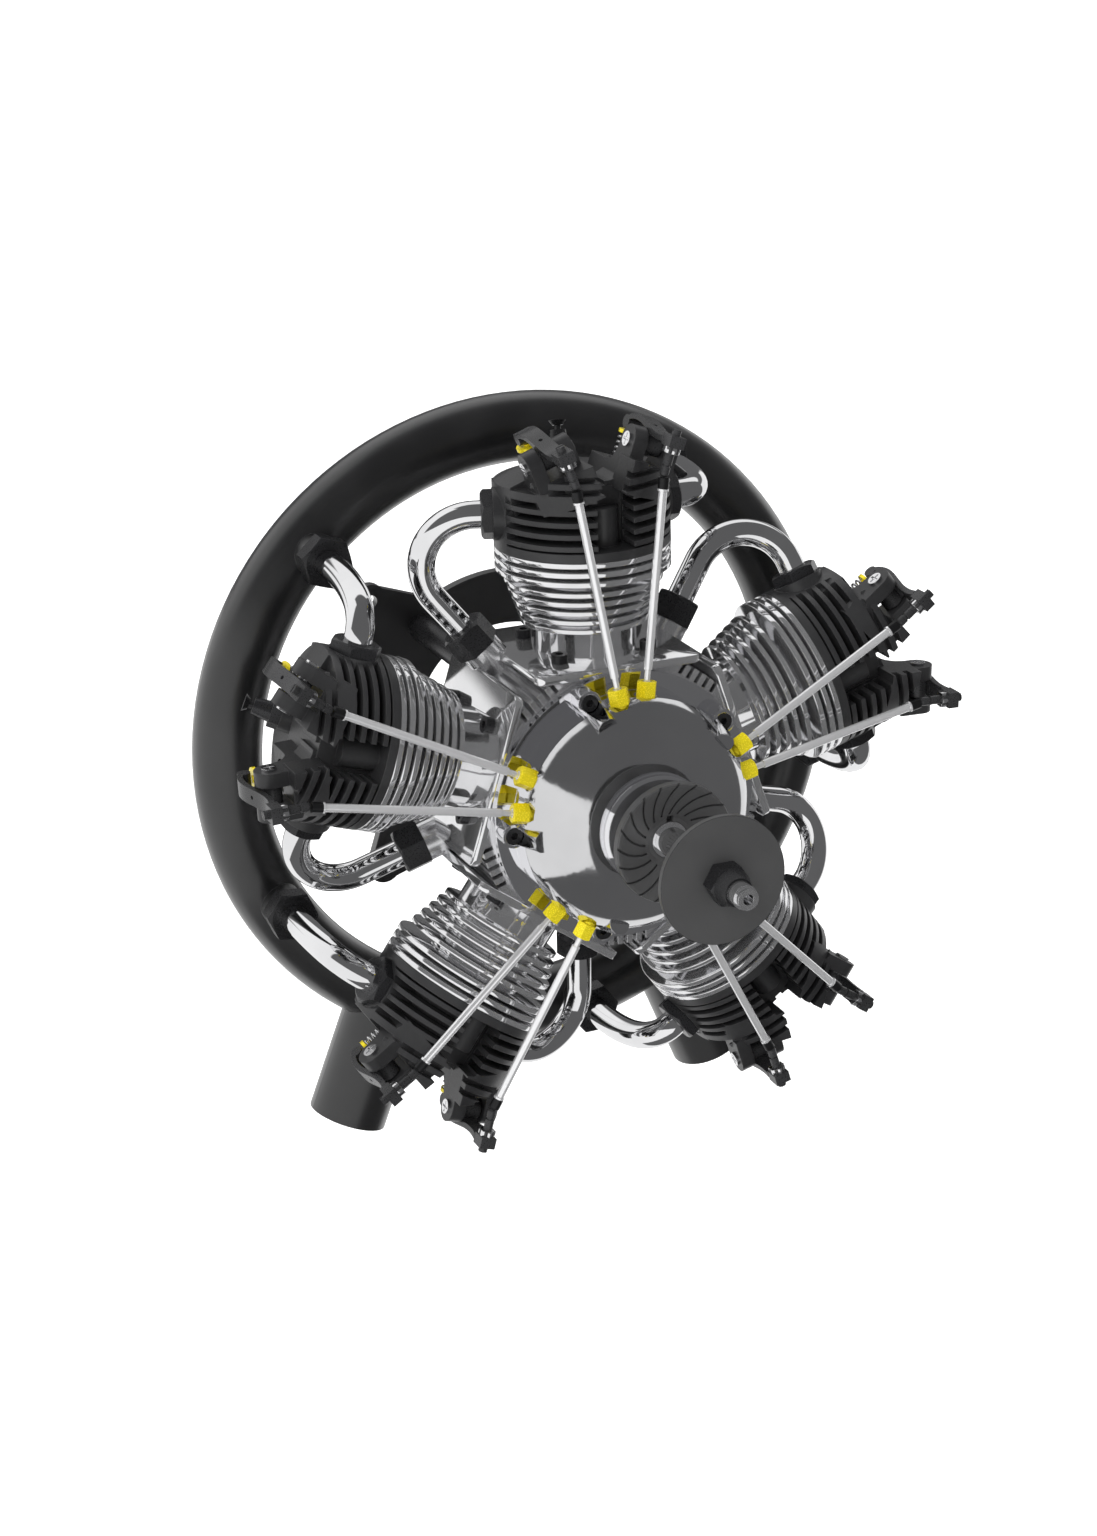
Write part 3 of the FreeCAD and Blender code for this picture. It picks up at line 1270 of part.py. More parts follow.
export("crankcase", crankcase())
export("nose_case", nose_case())
export("rear_cover", rear_cover())
export("mount_plate", mount_plate())
export("standoffs", *around(standoff()))
export("collector_ring", collector_ring())
export("intake_pipes", *around(intake_pipe()))
export("exhaust_pipes", *around(exhaust_pipe()))
export("pipe_nuts", *[copy for nut in pipe_nuts() for copy in around(nut)])
export("case_screws", *[copy for screw in case_screws() for copy in around(screw)])
export("cylinder_barrels", *around(barrel()))
export("rocker_shafts", *[copy for shaft in rocker_shafts() for copy in around(shaft)])
export("spark_plugs", *around(spark_plug()))
export("pushrod_guides", *[copy for side in (1, -1) for copy in around(guide(side))])
one_head = head()
for number in range(cylinder_count):
    export("head_%d" % (number + 1), placed(one_head, number))
for side, kind in ((1, "intake"), (-1, "exhaust")):
    one_rocker = rocker(side)
    one_valve = valve(side)
    one_rod = pushrod(side)
    for number in range(cylinder_count):
        label = "%s_%d" % (kind, number + 1)
        export("rocker_" + label, *[placed(piece, number) for piece in one_rocker])
        export("valve_" + label, placed(one_valve, number))
        export("pushrod_" + label, placed(one_rod, number))
export("crankshaft", crankshaft())
export("cam_idler", cam_idler())
export("cam_ring", cam_ring())
export("bearings", *bearings())
export("prop_driver", prop_driver())
export("prop_washer", prop_washer())
export("prop_nuts", *prop_nuts())
export("pistons", *[placed(piece) for number in range(cylinder_count) for piece in piston(number)])
export("connecting_rods", *[placed(piece) for piece in connecting_rods()])
export("carburettor", carburettor())
export("throttle_drum", throttle_drum())
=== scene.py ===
import math

import bmesh
import bpy
from mathutils import Matrix, Vector


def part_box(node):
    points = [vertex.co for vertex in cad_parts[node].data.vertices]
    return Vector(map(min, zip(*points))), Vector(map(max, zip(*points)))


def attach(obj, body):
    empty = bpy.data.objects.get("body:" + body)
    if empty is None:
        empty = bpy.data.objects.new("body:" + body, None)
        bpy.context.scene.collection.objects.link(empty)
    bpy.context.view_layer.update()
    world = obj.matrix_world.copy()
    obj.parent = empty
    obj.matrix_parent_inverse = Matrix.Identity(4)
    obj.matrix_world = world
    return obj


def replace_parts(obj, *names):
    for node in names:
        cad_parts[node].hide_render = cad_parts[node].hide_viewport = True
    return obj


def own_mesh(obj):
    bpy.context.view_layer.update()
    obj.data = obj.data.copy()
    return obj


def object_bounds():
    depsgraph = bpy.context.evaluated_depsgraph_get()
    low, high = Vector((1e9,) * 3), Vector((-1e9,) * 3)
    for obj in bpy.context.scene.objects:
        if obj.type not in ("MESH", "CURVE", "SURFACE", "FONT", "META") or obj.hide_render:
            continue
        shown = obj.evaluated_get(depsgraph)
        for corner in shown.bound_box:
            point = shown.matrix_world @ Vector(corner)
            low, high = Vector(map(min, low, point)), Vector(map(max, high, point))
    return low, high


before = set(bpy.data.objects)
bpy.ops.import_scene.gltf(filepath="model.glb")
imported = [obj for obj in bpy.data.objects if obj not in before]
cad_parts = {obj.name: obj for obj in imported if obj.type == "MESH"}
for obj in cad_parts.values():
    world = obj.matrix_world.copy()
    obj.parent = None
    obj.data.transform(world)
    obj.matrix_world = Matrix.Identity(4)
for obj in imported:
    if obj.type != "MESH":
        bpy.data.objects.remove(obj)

# Packed box
# The imported model's box before anything is added to it. The floor is set under its lowest
# point.
cad_box = [[float(value) for value in corner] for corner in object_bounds()]


# Crankcase and rear cover
# The five-sided case and its round cover are machined, polished and plated all over. Polishing has
# rounded their edges and left the gloss a little uneven.
def new_group(name, inputs, outputs):
    """Empty shader group with named sockets, and its input and output nodes."""
    group = bpy.data.node_groups.new(name, "ShaderNodeTree")
    for label, kind, value in inputs:
        socket = group.interface.new_socket(label, in_out="INPUT", socket_type=kind)
        if value is not None:
            socket.default_value = value
    for label, kind in outputs:
        group.interface.new_socket(label, in_out="OUTPUT", socket_type=kind)
    return group, group.nodes.new("NodeGroupInput"), group.nodes.new("NodeGroupOutput")


def math_node(tree, operation, first, second=None, clamp=False):
    """Math node fed by sockets or plain numbers, giving back its result socket."""
    node = tree.nodes.new("ShaderNodeMath")
    node.operation = operation
    node.use_clamp = clamp
    for socket, value in zip(node.inputs, (first, second)):
        if isinstance(value, (int, float)):
            socket.default_value = value
        elif value is not None:
            tree.links.new(value, socket)
    return node.outputs[0]


def soft_step(tree, value, low, high):
    """Map Range node that rises from 0 to 1 between two values."""
    node = tree.nodes.new("ShaderNodeMapRange")
    node.interpolation_type = "SMOOTHSTEP"
    tree.links.new(value, node.inputs["Value"])
    node.inputs["From Min"].default_value = low
    node.inputs["From Max"].default_value = high
    return node.outputs["Result"]


def mixed(tree, factor, first, second):
    """Colour mix of two plain colours or sockets."""
    node = tree.nodes.new("ShaderNodeMix")
    node.data_type = "RGBA"
    tree.links.new(factor, node.inputs["Factor"])
    for socket, value in ((node.inputs[6], first), (node.inputs[7], second)):
        if isinstance(value, tuple):
            socket.default_value = value
        else:
            tree.links.new(value, socket)
    return node.outputs[2]


def edge_group():
    """Rounded edges: a bevelled normal, and a mask that is 1 where the surface turns sharply."""
    group, start, end = new_group(
        "rounded_edges", [("Radius", "NodeSocketFloat", 0.0003)],
        [("Normal", "NodeSocketVector"), ("Edge", "NodeSocketFloat")])
    bevel = group.nodes.new("ShaderNodeBevel")
    bevel.samples = 4
    group.links.new(start.outputs["Radius"], bevel.inputs["Radius"])
    geometry = group.nodes.new("ShaderNodeNewGeometry")
    dot = group.nodes.new("ShaderNodeVectorMath")
    dot.operation = "DOT_PRODUCT"
    group.links.new(bevel.outputs["Normal"], dot.inputs[0])
    group.links.new(geometry.outputs["Normal"], dot.inputs[1])
    bend = math_node(group, "SUBTRACT", 1.0, dot.outputs["Value"])
    group.links.new(soft_step(group, bend, 0.02, 0.3), end.inputs["Edge"])
    group.links.new(bevel.outputs["Normal"], end.inputs["Normal"])
    return group


def grain_group():
    """Fine grain: a bumped normal, the grain itself, and broad soft patches."""
    group, start, end = new_group(
        "fine_grain",
        [("Scale", "NodeSocketFloat", 900.0), ("Strength", "NodeSocketFloat", 0.1),
         ("Depth", "NodeSocketFloat", 0.00003), ("Normal", "NodeSocketVector", None)],
        [("Normal", "NodeSocketVector"), ("Grain", "NodeSocketFloat"), ("Patches", "NodeSocketFloat")])
    place = group.nodes.new("ShaderNodeTexCoord")
    fine = group.nodes.new("ShaderNodeTexNoise")
    fine.inputs["Detail"].default_value = 4.0
    group.links.new(place.outputs["Object"], fine.inputs["Vector"])
    group.links.new(start.outputs["Scale"], fine.inputs["Scale"])
    broad = group.nodes.new("ShaderNodeTexNoise")
    broad.inputs["Detail"].default_value = 3.0
    broad.inputs["Scale"].default_value = 45.0
    group.links.new(place.outputs["Object"], broad.inputs["Vector"])
    bump = group.nodes.new("ShaderNodeBump")
    group.links.new(start.outputs["Strength"], bump.inputs["Strength"])
    group.links.new(start.outputs["Depth"], bump.inputs["Distance"])
    group.links.new(fine.outputs[0], bump.inputs["Height"])
    group.links.new(start.outputs["Normal"], bump.inputs["Normal"])
    group.links.new(bump.outputs["Normal"], end.inputs["Normal"])
    group.links.new(fine.outputs[0], end.inputs["Grain"])
    group.links.new(broad.outputs[0], end.inputs["Patches"])
    return group


rounded_edges = edge_group()
fine_grain = grain_group()


def group_node(tree, group, **values):
    node = tree.nodes.new("ShaderNodeGroup")
    node.node_tree = group
    for name, value in values.items():
        node.inputs[name].default_value = value
    return node


class Finish:
    """A material whose normal passes through rounded edges and, where it has strength, a grain."""

    def __init__(self, name, metallic, edge, grain=2500.0, strength=0.0):
        self.material = bpy.data.materials.new(name)
        self.material.use_nodes = True
        self.tree = self.material.node_tree
        self.shader = self.tree.nodes["Principled BSDF"]
        self.shader.inputs["Metallic"].default_value = metallic
        self.edges = group_node(self.tree, rounded_edges, Radius=edge)
        self.grain = group_node(self.tree, fine_grain, Scale=grain, Strength=strength)
        self.tree.links.new(self.edges.outputs["Normal"], self.grain.inputs["Normal"])
        surface = self.grain if strength else self.edges
        self.tree.links.new(surface.outputs["Normal"], self.shader.inputs["Normal"])

    def link(self, socket, name):
        self.tree.links.new(socket, self.shader.inputs[name])

    def colour(self, dark, light, edge_wear_and_shade_tone=None, edge_wear_and_shade_strength=0.5):
        """Broad, soft patches between two tones, with a third at the edges: rubbed wear on enamel and
        blackened steel, painted shade on the propeller driver.
        """
        patches = soft_step(self.tree, self.grain.outputs["Patches"], 0.35, 0.65)
        tone = mixed(self.tree, patches, dark, light)
        if edge_wear_and_shade_tone:
            edge_wear_and_shade_mask = math_node(self.tree, "MULTIPLY", self.edges.outputs["Edge"],
                               self.grain.outputs["Grain"])
            tone = mixed(self.tree, math_node(self.tree, "MULTIPLY", edge_wear_and_shade_mask, edge_wear_and_shade_strength, True), tone, edge_wear_and_shade_tone)
        return tone

    def roughness(self, low, high):
        """Roughness that follows the grain between two values."""
        node = self.tree.nodes.new("ShaderNodeMapRange")
        self.tree.links.new(self.grain.outputs["Grain"], node.inputs["Value"])
        node.inputs["From Min"].default_value = 0.3
        node.inputs["From Max"].default_value = 0.7
        node.inputs["To Min"].default_value = low
        node.inputs["To Max"].default_value = high
        return node.outputs["Result"]


def bright_metal(name, dark, light, low, high, metallic=1.0, edge=0.0002, strength=0.0, edge_wear_and_shade_tone=None,
                 edge_wear_and_shade_strength=0.5):
    """Metal between two tones and two values of roughness, with a third tone at the edges if one is
    given: wear, and on the driver painted shade.
    """
    finish = Finish(name, metallic, edge, strength=strength)
    finish.link(finish.colour(dark, light, edge_wear_and_shade_tone, edge_wear_and_shade_strength), "Base Color")
    finish.link(finish.roughness(low, high), "Roughness")
    return finish.material


def dress(material, *names):
    """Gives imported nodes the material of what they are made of. They keep their own meshes."""
    for name in names:
        for material_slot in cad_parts[name].material_slots:
            material_slot.material = material


case_plate = bright_metal("case_plate", (0.72, 0.72, 0.73, 1), (0.80, 0.80, 0.81, 1), 0.18, 0.26,
                          metallic=0.92, edge=0.0004)
dress(case_plate, "crankcase", "rear_cover")

# Nose case
# A domed cover, polished and plated like the crankcase behind it. The dome is a shade duller than
# the flange at its foot and the lip round the shaft.
flange_thickness = 0.0032
lip_radius = 0.0186
lip_depth = 0.0045
finish_join = 0.0001


def place_group():
    """How far a point is from the crank axis, and how far ahead of the mounting face."""
    group, start, end = new_group(
        "place_round_shaft", [], [("Radius", "NodeSocketFloat"), ("Ahead", "NodeSocketFloat")])
    place = group.nodes.new("ShaderNodeTexCoord")
    split = group.nodes.new("ShaderNodeSeparateXYZ")
    group.links.new(place.outputs["Object"], split.inputs[0])
    x, y, z = split.outputs
    square = math_node(group, "ADD", math_node(group, "MULTIPLY", x, x),
                       math_node(group, "MULTIPLY", z, z))
    group.links.new(math_node(group, "SQRT", square), end.inputs["Radius"])
    group.links.new(math_node(group, "MULTIPLY", y, -1.0), end.inputs["Ahead"])
    return group


place_round_shaft = place_group()


def nose_finish():
    finish = Finish("nose_plate", 1.0, 0.0005, grain=900.0)
    tree = finish.tree
    place = group_node(tree, place_round_shaft)
    flange_front = -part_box("crankcase")[0][1] + flange_thickness
    on_flange = soft_step(tree, place.outputs["Ahead"], flange_front + finish_join, flange_front)
    near_shaft = soft_step(tree, place.outputs["Radius"], lip_radius + finish_join, lip_radius)
    lip_back = -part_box("nose_case")[0][1] - lip_depth
    in_front = soft_step(tree, place.outputs["Ahead"], lip_back, lip_back + finish_join)
    bright = math_node(tree, "MAXIMUM", on_flange, math_node(tree, "MULTIPLY", near_shaft, in_front))
    dome = finish.colour((0.66, 0.66, 0.67, 1), (0.70, 0.70, 0.71, 1))
    finish.link(mixed(tree, bright, dome, (0.84, 0.84, 0.86, 1)), "Base Color")
    gloss = math_node(tree, "SUBTRACT", finish.roughness(0.07, 0.10),
                      math_node(tree, "MULTIPLY", bright, 0.04))
    finish.link(gloss, "Roughness")
    return finish.material


dress(nose_finish(), "nose_case")

# Bearings, cam ring and idler
# Ground, hardened steel with a faint grain left by the wheel. All of them run inside the nose case
# and the crankcase.
steel = bright_metal("ground_steel", (0.52, 0.52, 0.53, 1), (0.62, 0.62, 0.63, 1), 0.16, 0.26,
                     strength=0.03)
dress(steel, "bearings", "cam_ring", "cam_idler")

# Crankshaft
# Turned and polished steel. Its front end shows between the propeller driver and the washer, and
# ahead of the nuts.
turned_steel = bright_metal("turned_steel", (0.74, 0.74, 0.75, 1), (0.84, 0.84, 0.85, 1), 0.06, 0.10,
                            metallic=0.95)
dress(turned_steel, "crankshaft")

# Pistons and connecting rods
# Machined aluminium, left as it comes off the tool, with a faint grain. The crankcase and the
# barrels close them in.
aluminium = bright_metal("machined_aluminium", (0.66, 0.66, 0.67, 1), (0.76, 0.76, 0.77, 1), 0.2, 0.32,
                         strength=0.03)
dress(aluminium, "pistons", "connecting_rods")

# Barrels
# Turned and chromed: a plain skirt above a square flange, five fins that widen upwards and three
# full ones under the head. Each fin has a flat rim, broken corners and a rounded root. A barrel is
# worked out for the top cylinder and then turned about the crank axis.
cylinder_count = 5
barrel_low, barrel_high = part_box("cylinder_barrels")
cylinder_plane = (barrel_low[1] + barrel_high[1]) / 2
barrel_seat = 0.0473
barrel_top = 0.0826
barrel_skirt = 0.0170
barrel_bore = 0.0145
spigot_radius = 0.0164
spigot_length = 0.0088
spigot_undercut = 0.001
barrel_flange_half = barrel_high[1] - cylinder_plane
barrel_flange_thickness = 0.0028
barrel_flange_corner = 0.003
flange_corner_steps = 6
barrel_flange_edge = 0.0004
small_fin_count = 5
small_fin_height = 0.0574
small_fin_pitch = 0.0034
small_fin_thickness = 0.0017
small_fin_radius = 0.0215
small_fin_growth = 0.00117
full_fin_count = 3
full_fin_pitch = 0.00315
full_fin_thickness = 0.0019
full_fin_radius = 0.0290
fin_root = 0.00035
fin_root_hollow = fin_root * 0.3
fin_corner = 0.00025
fin_corner_steps = 3
barrel_steps = 120
flat_angle = math.radians(35)

plated = bright_metal("plated_barrel", (0.80, 0.80, 0.81, 1), (0.87, 0.87, 0.88, 1), 0.04, 0.08,
                      metallic=0.93)
dress(plated, "cylinder_barrels")


def cylinder_frame(number):
    turn = Matrix.Rotation(math.radians(number * 360 / cylinder_count), 4, "Y")
    return Matrix.Translation((0, cylinder_plane, 0)) @ turn


def finished(bm, name, body, material):
    """Turns a mesh built in the engine's frame into a piece that rides on a body."""
    mesh = bpy.data.meshes.new(name)
    bmesh.ops.recalc_face_normals(bm, faces=bm.faces)
    bm.to_mesh(mesh)
    bm.free()
    mesh.materials.append(material)
    piece = bpy.data.objects.new(name, mesh)
    bpy.context.scene.collection.objects.link(piece)
    mesh.shade_smooth()
    mesh.set_sharp_from_angle(angle=flat_angle)
    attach(piece, body)
    return piece


def prism(bm, height):
    """Raises the flat face that a mesh holds into a prism."""
    lifted = bmesh.ops.extrude_face_region(bm, geom=list(bm.faces))
    top = [item for item in lifted["geom"] if isinstance(item, bmesh.types.BMVert)]
    bmesh.ops.translate(bm, verts=top, vec=(0, 0, height))


def broken(bm, edges, width):
    bmesh.ops.bevel(bm, geom=edges, offset=width, segments=2, affect="EDGES", profile=0.5, material=-1)


def fin(middle, thickness, radius):
    """Radius and height round one fin, from its lower root over both rounded corners of its rim."""
    half = thickness / 2
    points = [(barrel_skirt, middle - half - fin_root),
              (barrel_skirt + fin_root_hollow, middle - half - fin_root_hollow),
              (barrel_skirt + fin_root, middle - half)]
    for end in (-1, 1):
        first = -90 if end < 0 else 0
        for i in range(fin_corner_steps + 1):
            turn = math.radians(first + 90 / fin_corner_steps * i)
            points.append((radius - fin_corner + fin_corner * math.cos(turn),
                           middle + end * (half - fin_corner) + fin_corner * math.sin(turn)))
    return points


def upper_root(middle, thickness):
    top = middle + thickness / 2
    return [(barrel_skirt + fin_root, top), (barrel_skirt + fin_root_hollow, top + fin_root_hollow),
            (barrel_skirt, top + fin_root)]


def barrel_outside():
    """Radius and height of the finned outside, from the flange to the head's seat."""
    points = [(barrel_skirt, barrel_seat)]
    for i in range(small_fin_count):
        middle = small_fin_height + small_fin_pitch * i
        points += fin(middle, small_fin_thickness, small_fin_radius + small_fin_growth * i)
        points += upper_root(middle, small_fin_thickness)
    for i in reversed(range(full_fin_count)):
        middle = barrel_top - full_fin_thickness / 2 - full_fin_pitch * i
        points += fin(middle, full_fin_thickness, full_fin_radius)
        if i:
            points += upper_root(middle, full_fin_thickness)
    return points


def flange_outline():
    """Corner by corner round the square flange, at the height of its lower face."""
    middle = barrel_flange_half - barrel_flange_corner
    points = []
    for quarter in range(4):
        centre_x = middle * (1 if quarter in (0, 3) else -1)
        centre_y = middle * (1 if quarter in (0, 1) else -1)
        for i in range(flange_corner_steps + 1):
            turn = math.radians(90 * quarter + 90 / flange_corner_steps * i)
            points.append((centre_x + barrel_flange_corner * math.cos(turn),
                           centre_y + barrel_flange_corner * math.sin(turn),
                           barrel_seat - barrel_flange_thickness))
    return points


def barrel(number):
    bm = bmesh.new()
    foot = barrel_seat - spigot_length
    section = barrel_outside() + [(barrel_bore, barrel_top), (barrel_bore, foot), (spigot_radius, foot),
                                  (spigot_radius, barrel_seat - spigot_undercut)]
    verts = [bm.verts.new((radius, 0, height)) for radius, height in section]
    edges = [bm.edges.new((verts[i - 1], verts[i])) for i in range(len(verts))]
    bmesh.ops.spin(bm, geom=verts + edges, cent=(0, 0, 0), axis=(0, 0, 1), angle=math.tau,
                   steps=barrel_steps, use_merge=True)
    bmesh.ops.remove_doubles(bm, verts=bm.verts, dist=1e-7)
    flange = bmesh.new()
    flange.faces.new([flange.verts.new(point) for point in flange_outline()])
    prism(flange, barrel_flange_thickness)
    rims = [edge for edge in flange.edges if abs(edge.verts[0].co.z - edge.verts[1].co.z) < 1e-6]
    broken(flange, rims, barrel_flange_edge)
    mesh = bpy.data.meshes.new("flange")
    flange.to_mesh(mesh)
    flange.free()
    bm.from_mesh(mesh)
    bpy.data.meshes.remove(mesh)
    bm.transform(cylinder_frame(number))
    return finished(bm, f"barrel_{number + 1}", "engine", plated)


for number in range(cylinder_count):
    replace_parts(barrel(number), "cylinder_barrels")


# Heads and carburettor
# Sand-cast and painted with satin black stove enamel, which leaves a fine orange peel and soft
# patches of tone. The edges are rubbed a little lighter.
def black_enamel(name, dark, light, low, high, strength, coat):
    finish = Finish(name, 0.0, 0.00045, grain=1500.0, strength=strength)
    finish.link(finish.colour(dark, light, (0.11, 0.11, 0.112, 1)), "Base Color")
    finish.link(finish.roughness(low, high), "Roughness")
    finish.shader.inputs["Coat Weight"].default_value = coat
    finish.shader.inputs["Coat Roughness"].default_value = 0.28
    return finish.material


casting_black = black_enamel("casting_black", (0.019, 0.019, 0.020, 1), (0.028, 0.028, 0.029, 1),
                             0.30, 0.42, strength=0.10, coat=0.0)
dress(casting_black, "carburettor", *[f"head_{number + 1}" for number in range(cylinder_count)])


# Screws, nuts, standoffs and spark plugs
# Turned and milled from steel and blackened in oil. They are nearly black, with a metal's sheen and
# brighter worn corners.
def blackened_steel(name, dark, light):
    finish = Finish(name, 0.35, 0.0002, grain=2200.0, strength=0.03)
    finish.link(finish.colour(dark, light, (0.22, 0.22, 0.23, 1), 0.6), "Base Color")
    finish.link(finish.roughness(0.24, 0.36), "Roughness")
    return finish.material


steel_black = blackened_steel("blackened_steel", (0.014, 0.014, 0.015, 1), (0.024, 0.024, 0.026, 1))
dress(steel_black, "case_screws", "pipe_nuts", "prop_nuts", "standoffs", "spark_plugs")

# Intake and exhaust pipes
# Polished tube, one smooth bend each: from a gland nut in the head down to the crankcase's boss, and
# from the other gland nut back to the ring's boss. Every end runs straight inside its nut.
port_above_barrel = 0.0115
port_height = barrel_top + port_above_barrel
gland_height = 0.0038
depth_in_head = 0.00645
depth_in_boss = 0.0035

chrome = bright_metal("polished_chrome", (0.80, 0.80, 0.81, 1), (0.87, 0.87, 0.88, 1), 0.02, 0.05)
dress(chrome, "intake_pipes", "exhaust_pipes")


def pipe(name, node, radius, knots, number):
    """Bezier tube through knots, each a point with its handle's vector before and after it."""
    curve = bpy.data.curves.new(name, "CURVE")
    curve.dimensions = "3D"
    curve.bevel_depth = radius
    curve.bevel_resolution = 10
    curve.resolution_u = 24
    curve.use_fill_caps = True
    spline = curve.splines.new("BEZIER")
    spline.bezier_points.add(len(knots) - 1)
    place = cylinder_frame(number)
    for knot, (point, before, after) in zip(spline.bezier_points, knots):
        knot.handle_left_type = knot.handle_right_type = "FREE"
        knot.co = place @ point
        knot.handle_left = place @ (point + before)
        knot.handle_right = place @ (point + after)
    curve.materials.append(chrome)
    piece = bpy.data.objects.new(f"{name}_{number + 1}", curve)
    bpy.context.scene.collection.objects.link(piece)
    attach(piece, "engine")
    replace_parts(piece, node)


def port(side, out, behind, lean):
    """Way out of a port, and the point where its gland nut meets the head."""
    way = Vector((-side * math.cos(lean), math.sin(lean), 0))
    return way, Vector((-side * out, behind, port_height)) - way * (gland_height / 2)


intake_pipe_radius = 0.0046
intake_port_out = 0.0312
intake_port_behind = 0.0051
intake_port_lean = math.radians(19)
intake_reach = 0.0426
intake_bend = 0.0177
intake_boss_turn = math.radians(35.2)
intake_boss_distance = 0.063
intake_boss_behind = 0.0115
intake_nut_half = 0.0045
way, face = port(1, intake_port_out, intake_port_behind, intake_port_lean)
corner = face + way * intake_reach
nut_middle = Vector((-intake_boss_distance * math.sin(intake_boss_turn), intake_boss_behind,
                     intake_boss_distance * math.cos(intake_boss_turn)))
heading = (nut_middle - corner).normalized()
turn = way.angle(heading)
tangent = intake_bend * math.tan(turn / 2)
top_of_bend = corner + (heading - way).normalized() * intake_bend * (1 / math.cos(turn / 2) - 1)
handle = intake_bend * 4 / 3 * math.tan(turn / 8)
across = (way + heading).normalized() * handle
head_end = face - way * depth_in_head
case_end = nut_middle + heading * (intake_nut_half + depth_in_boss)
run = (corner - way * tangent - head_end) / 3
last_run = (case_end - corner - heading * tangent) / 3
intake_knots = [
    (head_end, -run, run), (corner - way * tangent, -run, way * handle), (top_of_bend, -across, across),
    (corner + heading * tangent, -heading * handle, last_run), (case_end, -last_run, last_run)]

exhaust_pipe_radius = 0.00475
exhaust_port_out = 0.0306
exhaust_port_behind = -0.00125
exhaust_port_lean = math.radians(-3.5)
ring_boss_out = 0.048
ring_boss_front = 0.046
ring_nut_height = 0.007
pull_at_head = 0.0115
pull_at_ring = 0.024
way, face = port(-1, exhaust_port_out, exhaust_port_behind, exhaust_port_lean)
gland_front = face + way * gland_height
head_end = face - way * depth_in_head
nut_front = Vector((ring_boss_out, ring_boss_front - ring_nut_height, port_height))
ring_end = Vector((ring_boss_out, ring_boss_front + depth_in_boss, port_height))
run = (gland_front - head_end) / 3
last_run = (ring_end - nut_front) / 3
exhaust_knots = [
    (head_end, -run, run), (gland_front, -run, way * pull_at_head),
    (nut_front, Vector((0, -pull_at_ring, 0)), last_run), (ring_end, -last_run, last_run)]

for number in range(cylinder_count):
    pipe("intake_pipe", "intake_pipes", intake_pipe_radius, intake_knots, number)
    pipe("exhaust_pipe", "exhaust_pipes", exhaust_pipe_radius, exhaust_knots, number)

# Collector ring and mount plate
# A welded steel tube and a steel plate under the same stove enamel as the heads, but darker and
# with more gloss.
ring_black = black_enamel("ring_black", (0.006, 0.006, 0.0065, 1), (0.010, 0.010, 0.0105, 1),
                          0.30, 0.40, strength=0.05, coat=0.8)
dress(ring_black, "collector_ring", "mount_plate")

# Tappet guides and throttle drum
# Turned from yellow brass and left bright. It is smooth, and looks only a little metallic under the
# soft light.
brass = bright_metal("bright_brass", (0.86, 0.70, 0.015, 1), (0.94, 0.78, 0.02, 1), 0.22, 0.30,
                     metallic=0.35)
dress(brass, "pushrod_guides", "throttle_drum")

# Valves
# Ground steel stems under brass-coloured spring retainers. A retainer lies further out from the
# crank axis than the length of stem that shows under it.
sides = {"intake": 1, "exhaust": -1}
retainer_start = 0.1120


def one_each(name):
    """Names of the pieces that each valve's gear has one of."""
    return [f"{name}_{kind}_{number + 1}" for kind in sides for number in range(cylinder_count)]


def valve_finish():
    finish = Finish("valve_steel", 1.0, 0.0001)
    tree = finish.tree
    radius = group_node(tree, place_round_shaft).outputs["Radius"]
    retainer = soft_step(tree, radius, retainer_start, retainer_start + finish_join)
    finish.link(mixed(tree, retainer, (0.56, 0.56, 0.57, 1), (0.90, 0.74, 0.02, 1)), "Base Color")
    finish.link(math_node(tree, "SUBTRACT", 1.0, math_node(tree, "MULTIPLY", retainer, 0.65)), "Metallic")
    finish.link(finish.roughness(0.15, 0.24), "Roughness")
    return finish.material


dress(valve_finish(), *one_each("valve"))

# Valve springs
# A coil of steel wire under each retainer, standing in the well of the rocker box. Springs and
# rockers share the rocker's tilted frame.
rocker_across = 0.0178
rocker_ahead = 0.016
rocker_height = 0.1158
valve_tilt = math.radians(20)
valve_reach = 0.016
spring_floor = -0.0099
spring_top = -0.0002
spring_radius = 0.0033
spring_wire = 0.00042
spring_turns = 5
steps_per_turn = 20
wire_sides = 8


def rocker_frame(kind, number):
    """Tilted frame of one rocker: across, along the crank axis and outwards."""
    side = sides[kind]
    place = Matrix.Translation((-side * rocker_across, -rocker_ahead, rocker_height))
    return cylinder_frame(number) @ place @ Matrix.Rotation(-side * valve_tilt, 4, "Y")


def valve_spring(kind, number):
    bm = bmesh.new()
    ring = bmesh.ops.create_circle(bm, segments=wire_sides, radius=spring_wire)
    bmesh.ops.rotate(bm, verts=ring["verts"], matrix=Matrix.Rotation(math.pi / 2, 3, "X"))
    bmesh.ops.translate(bm, verts=ring["verts"], vec=(spring_radius, 0, spring_wire))
    length = spring_top - spring_floor
    steps = steps_per_turn * spring_turns
    edges = list({edge for vert in ring["verts"] for edge in vert.link_edges})
    bmesh.ops.spin(bm, geom=ring["verts"] + edges, cent=(0, 0, 0), axis=(0, 0, 1),
                   dvec=(0, 0, (length - 2 * spring_wire) / steps), angle=math.tau * spring_turns,
                   steps=steps)
    bmesh.ops.holes_fill(bm, edges=bm.edges, sides=wire_sides)
    place = rocker_frame(kind, number)
    bm.transform(place @ Matrix.Translation((0, valve_reach, spring_floor)))
    label = f"{kind}_{number + 1}"
    piece = finished(bm, "spring_" + label, "engine", steel)
    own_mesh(piece)


for kind in sides:
    for number in range(cylinder_count):
        valve_spring(kind, number)

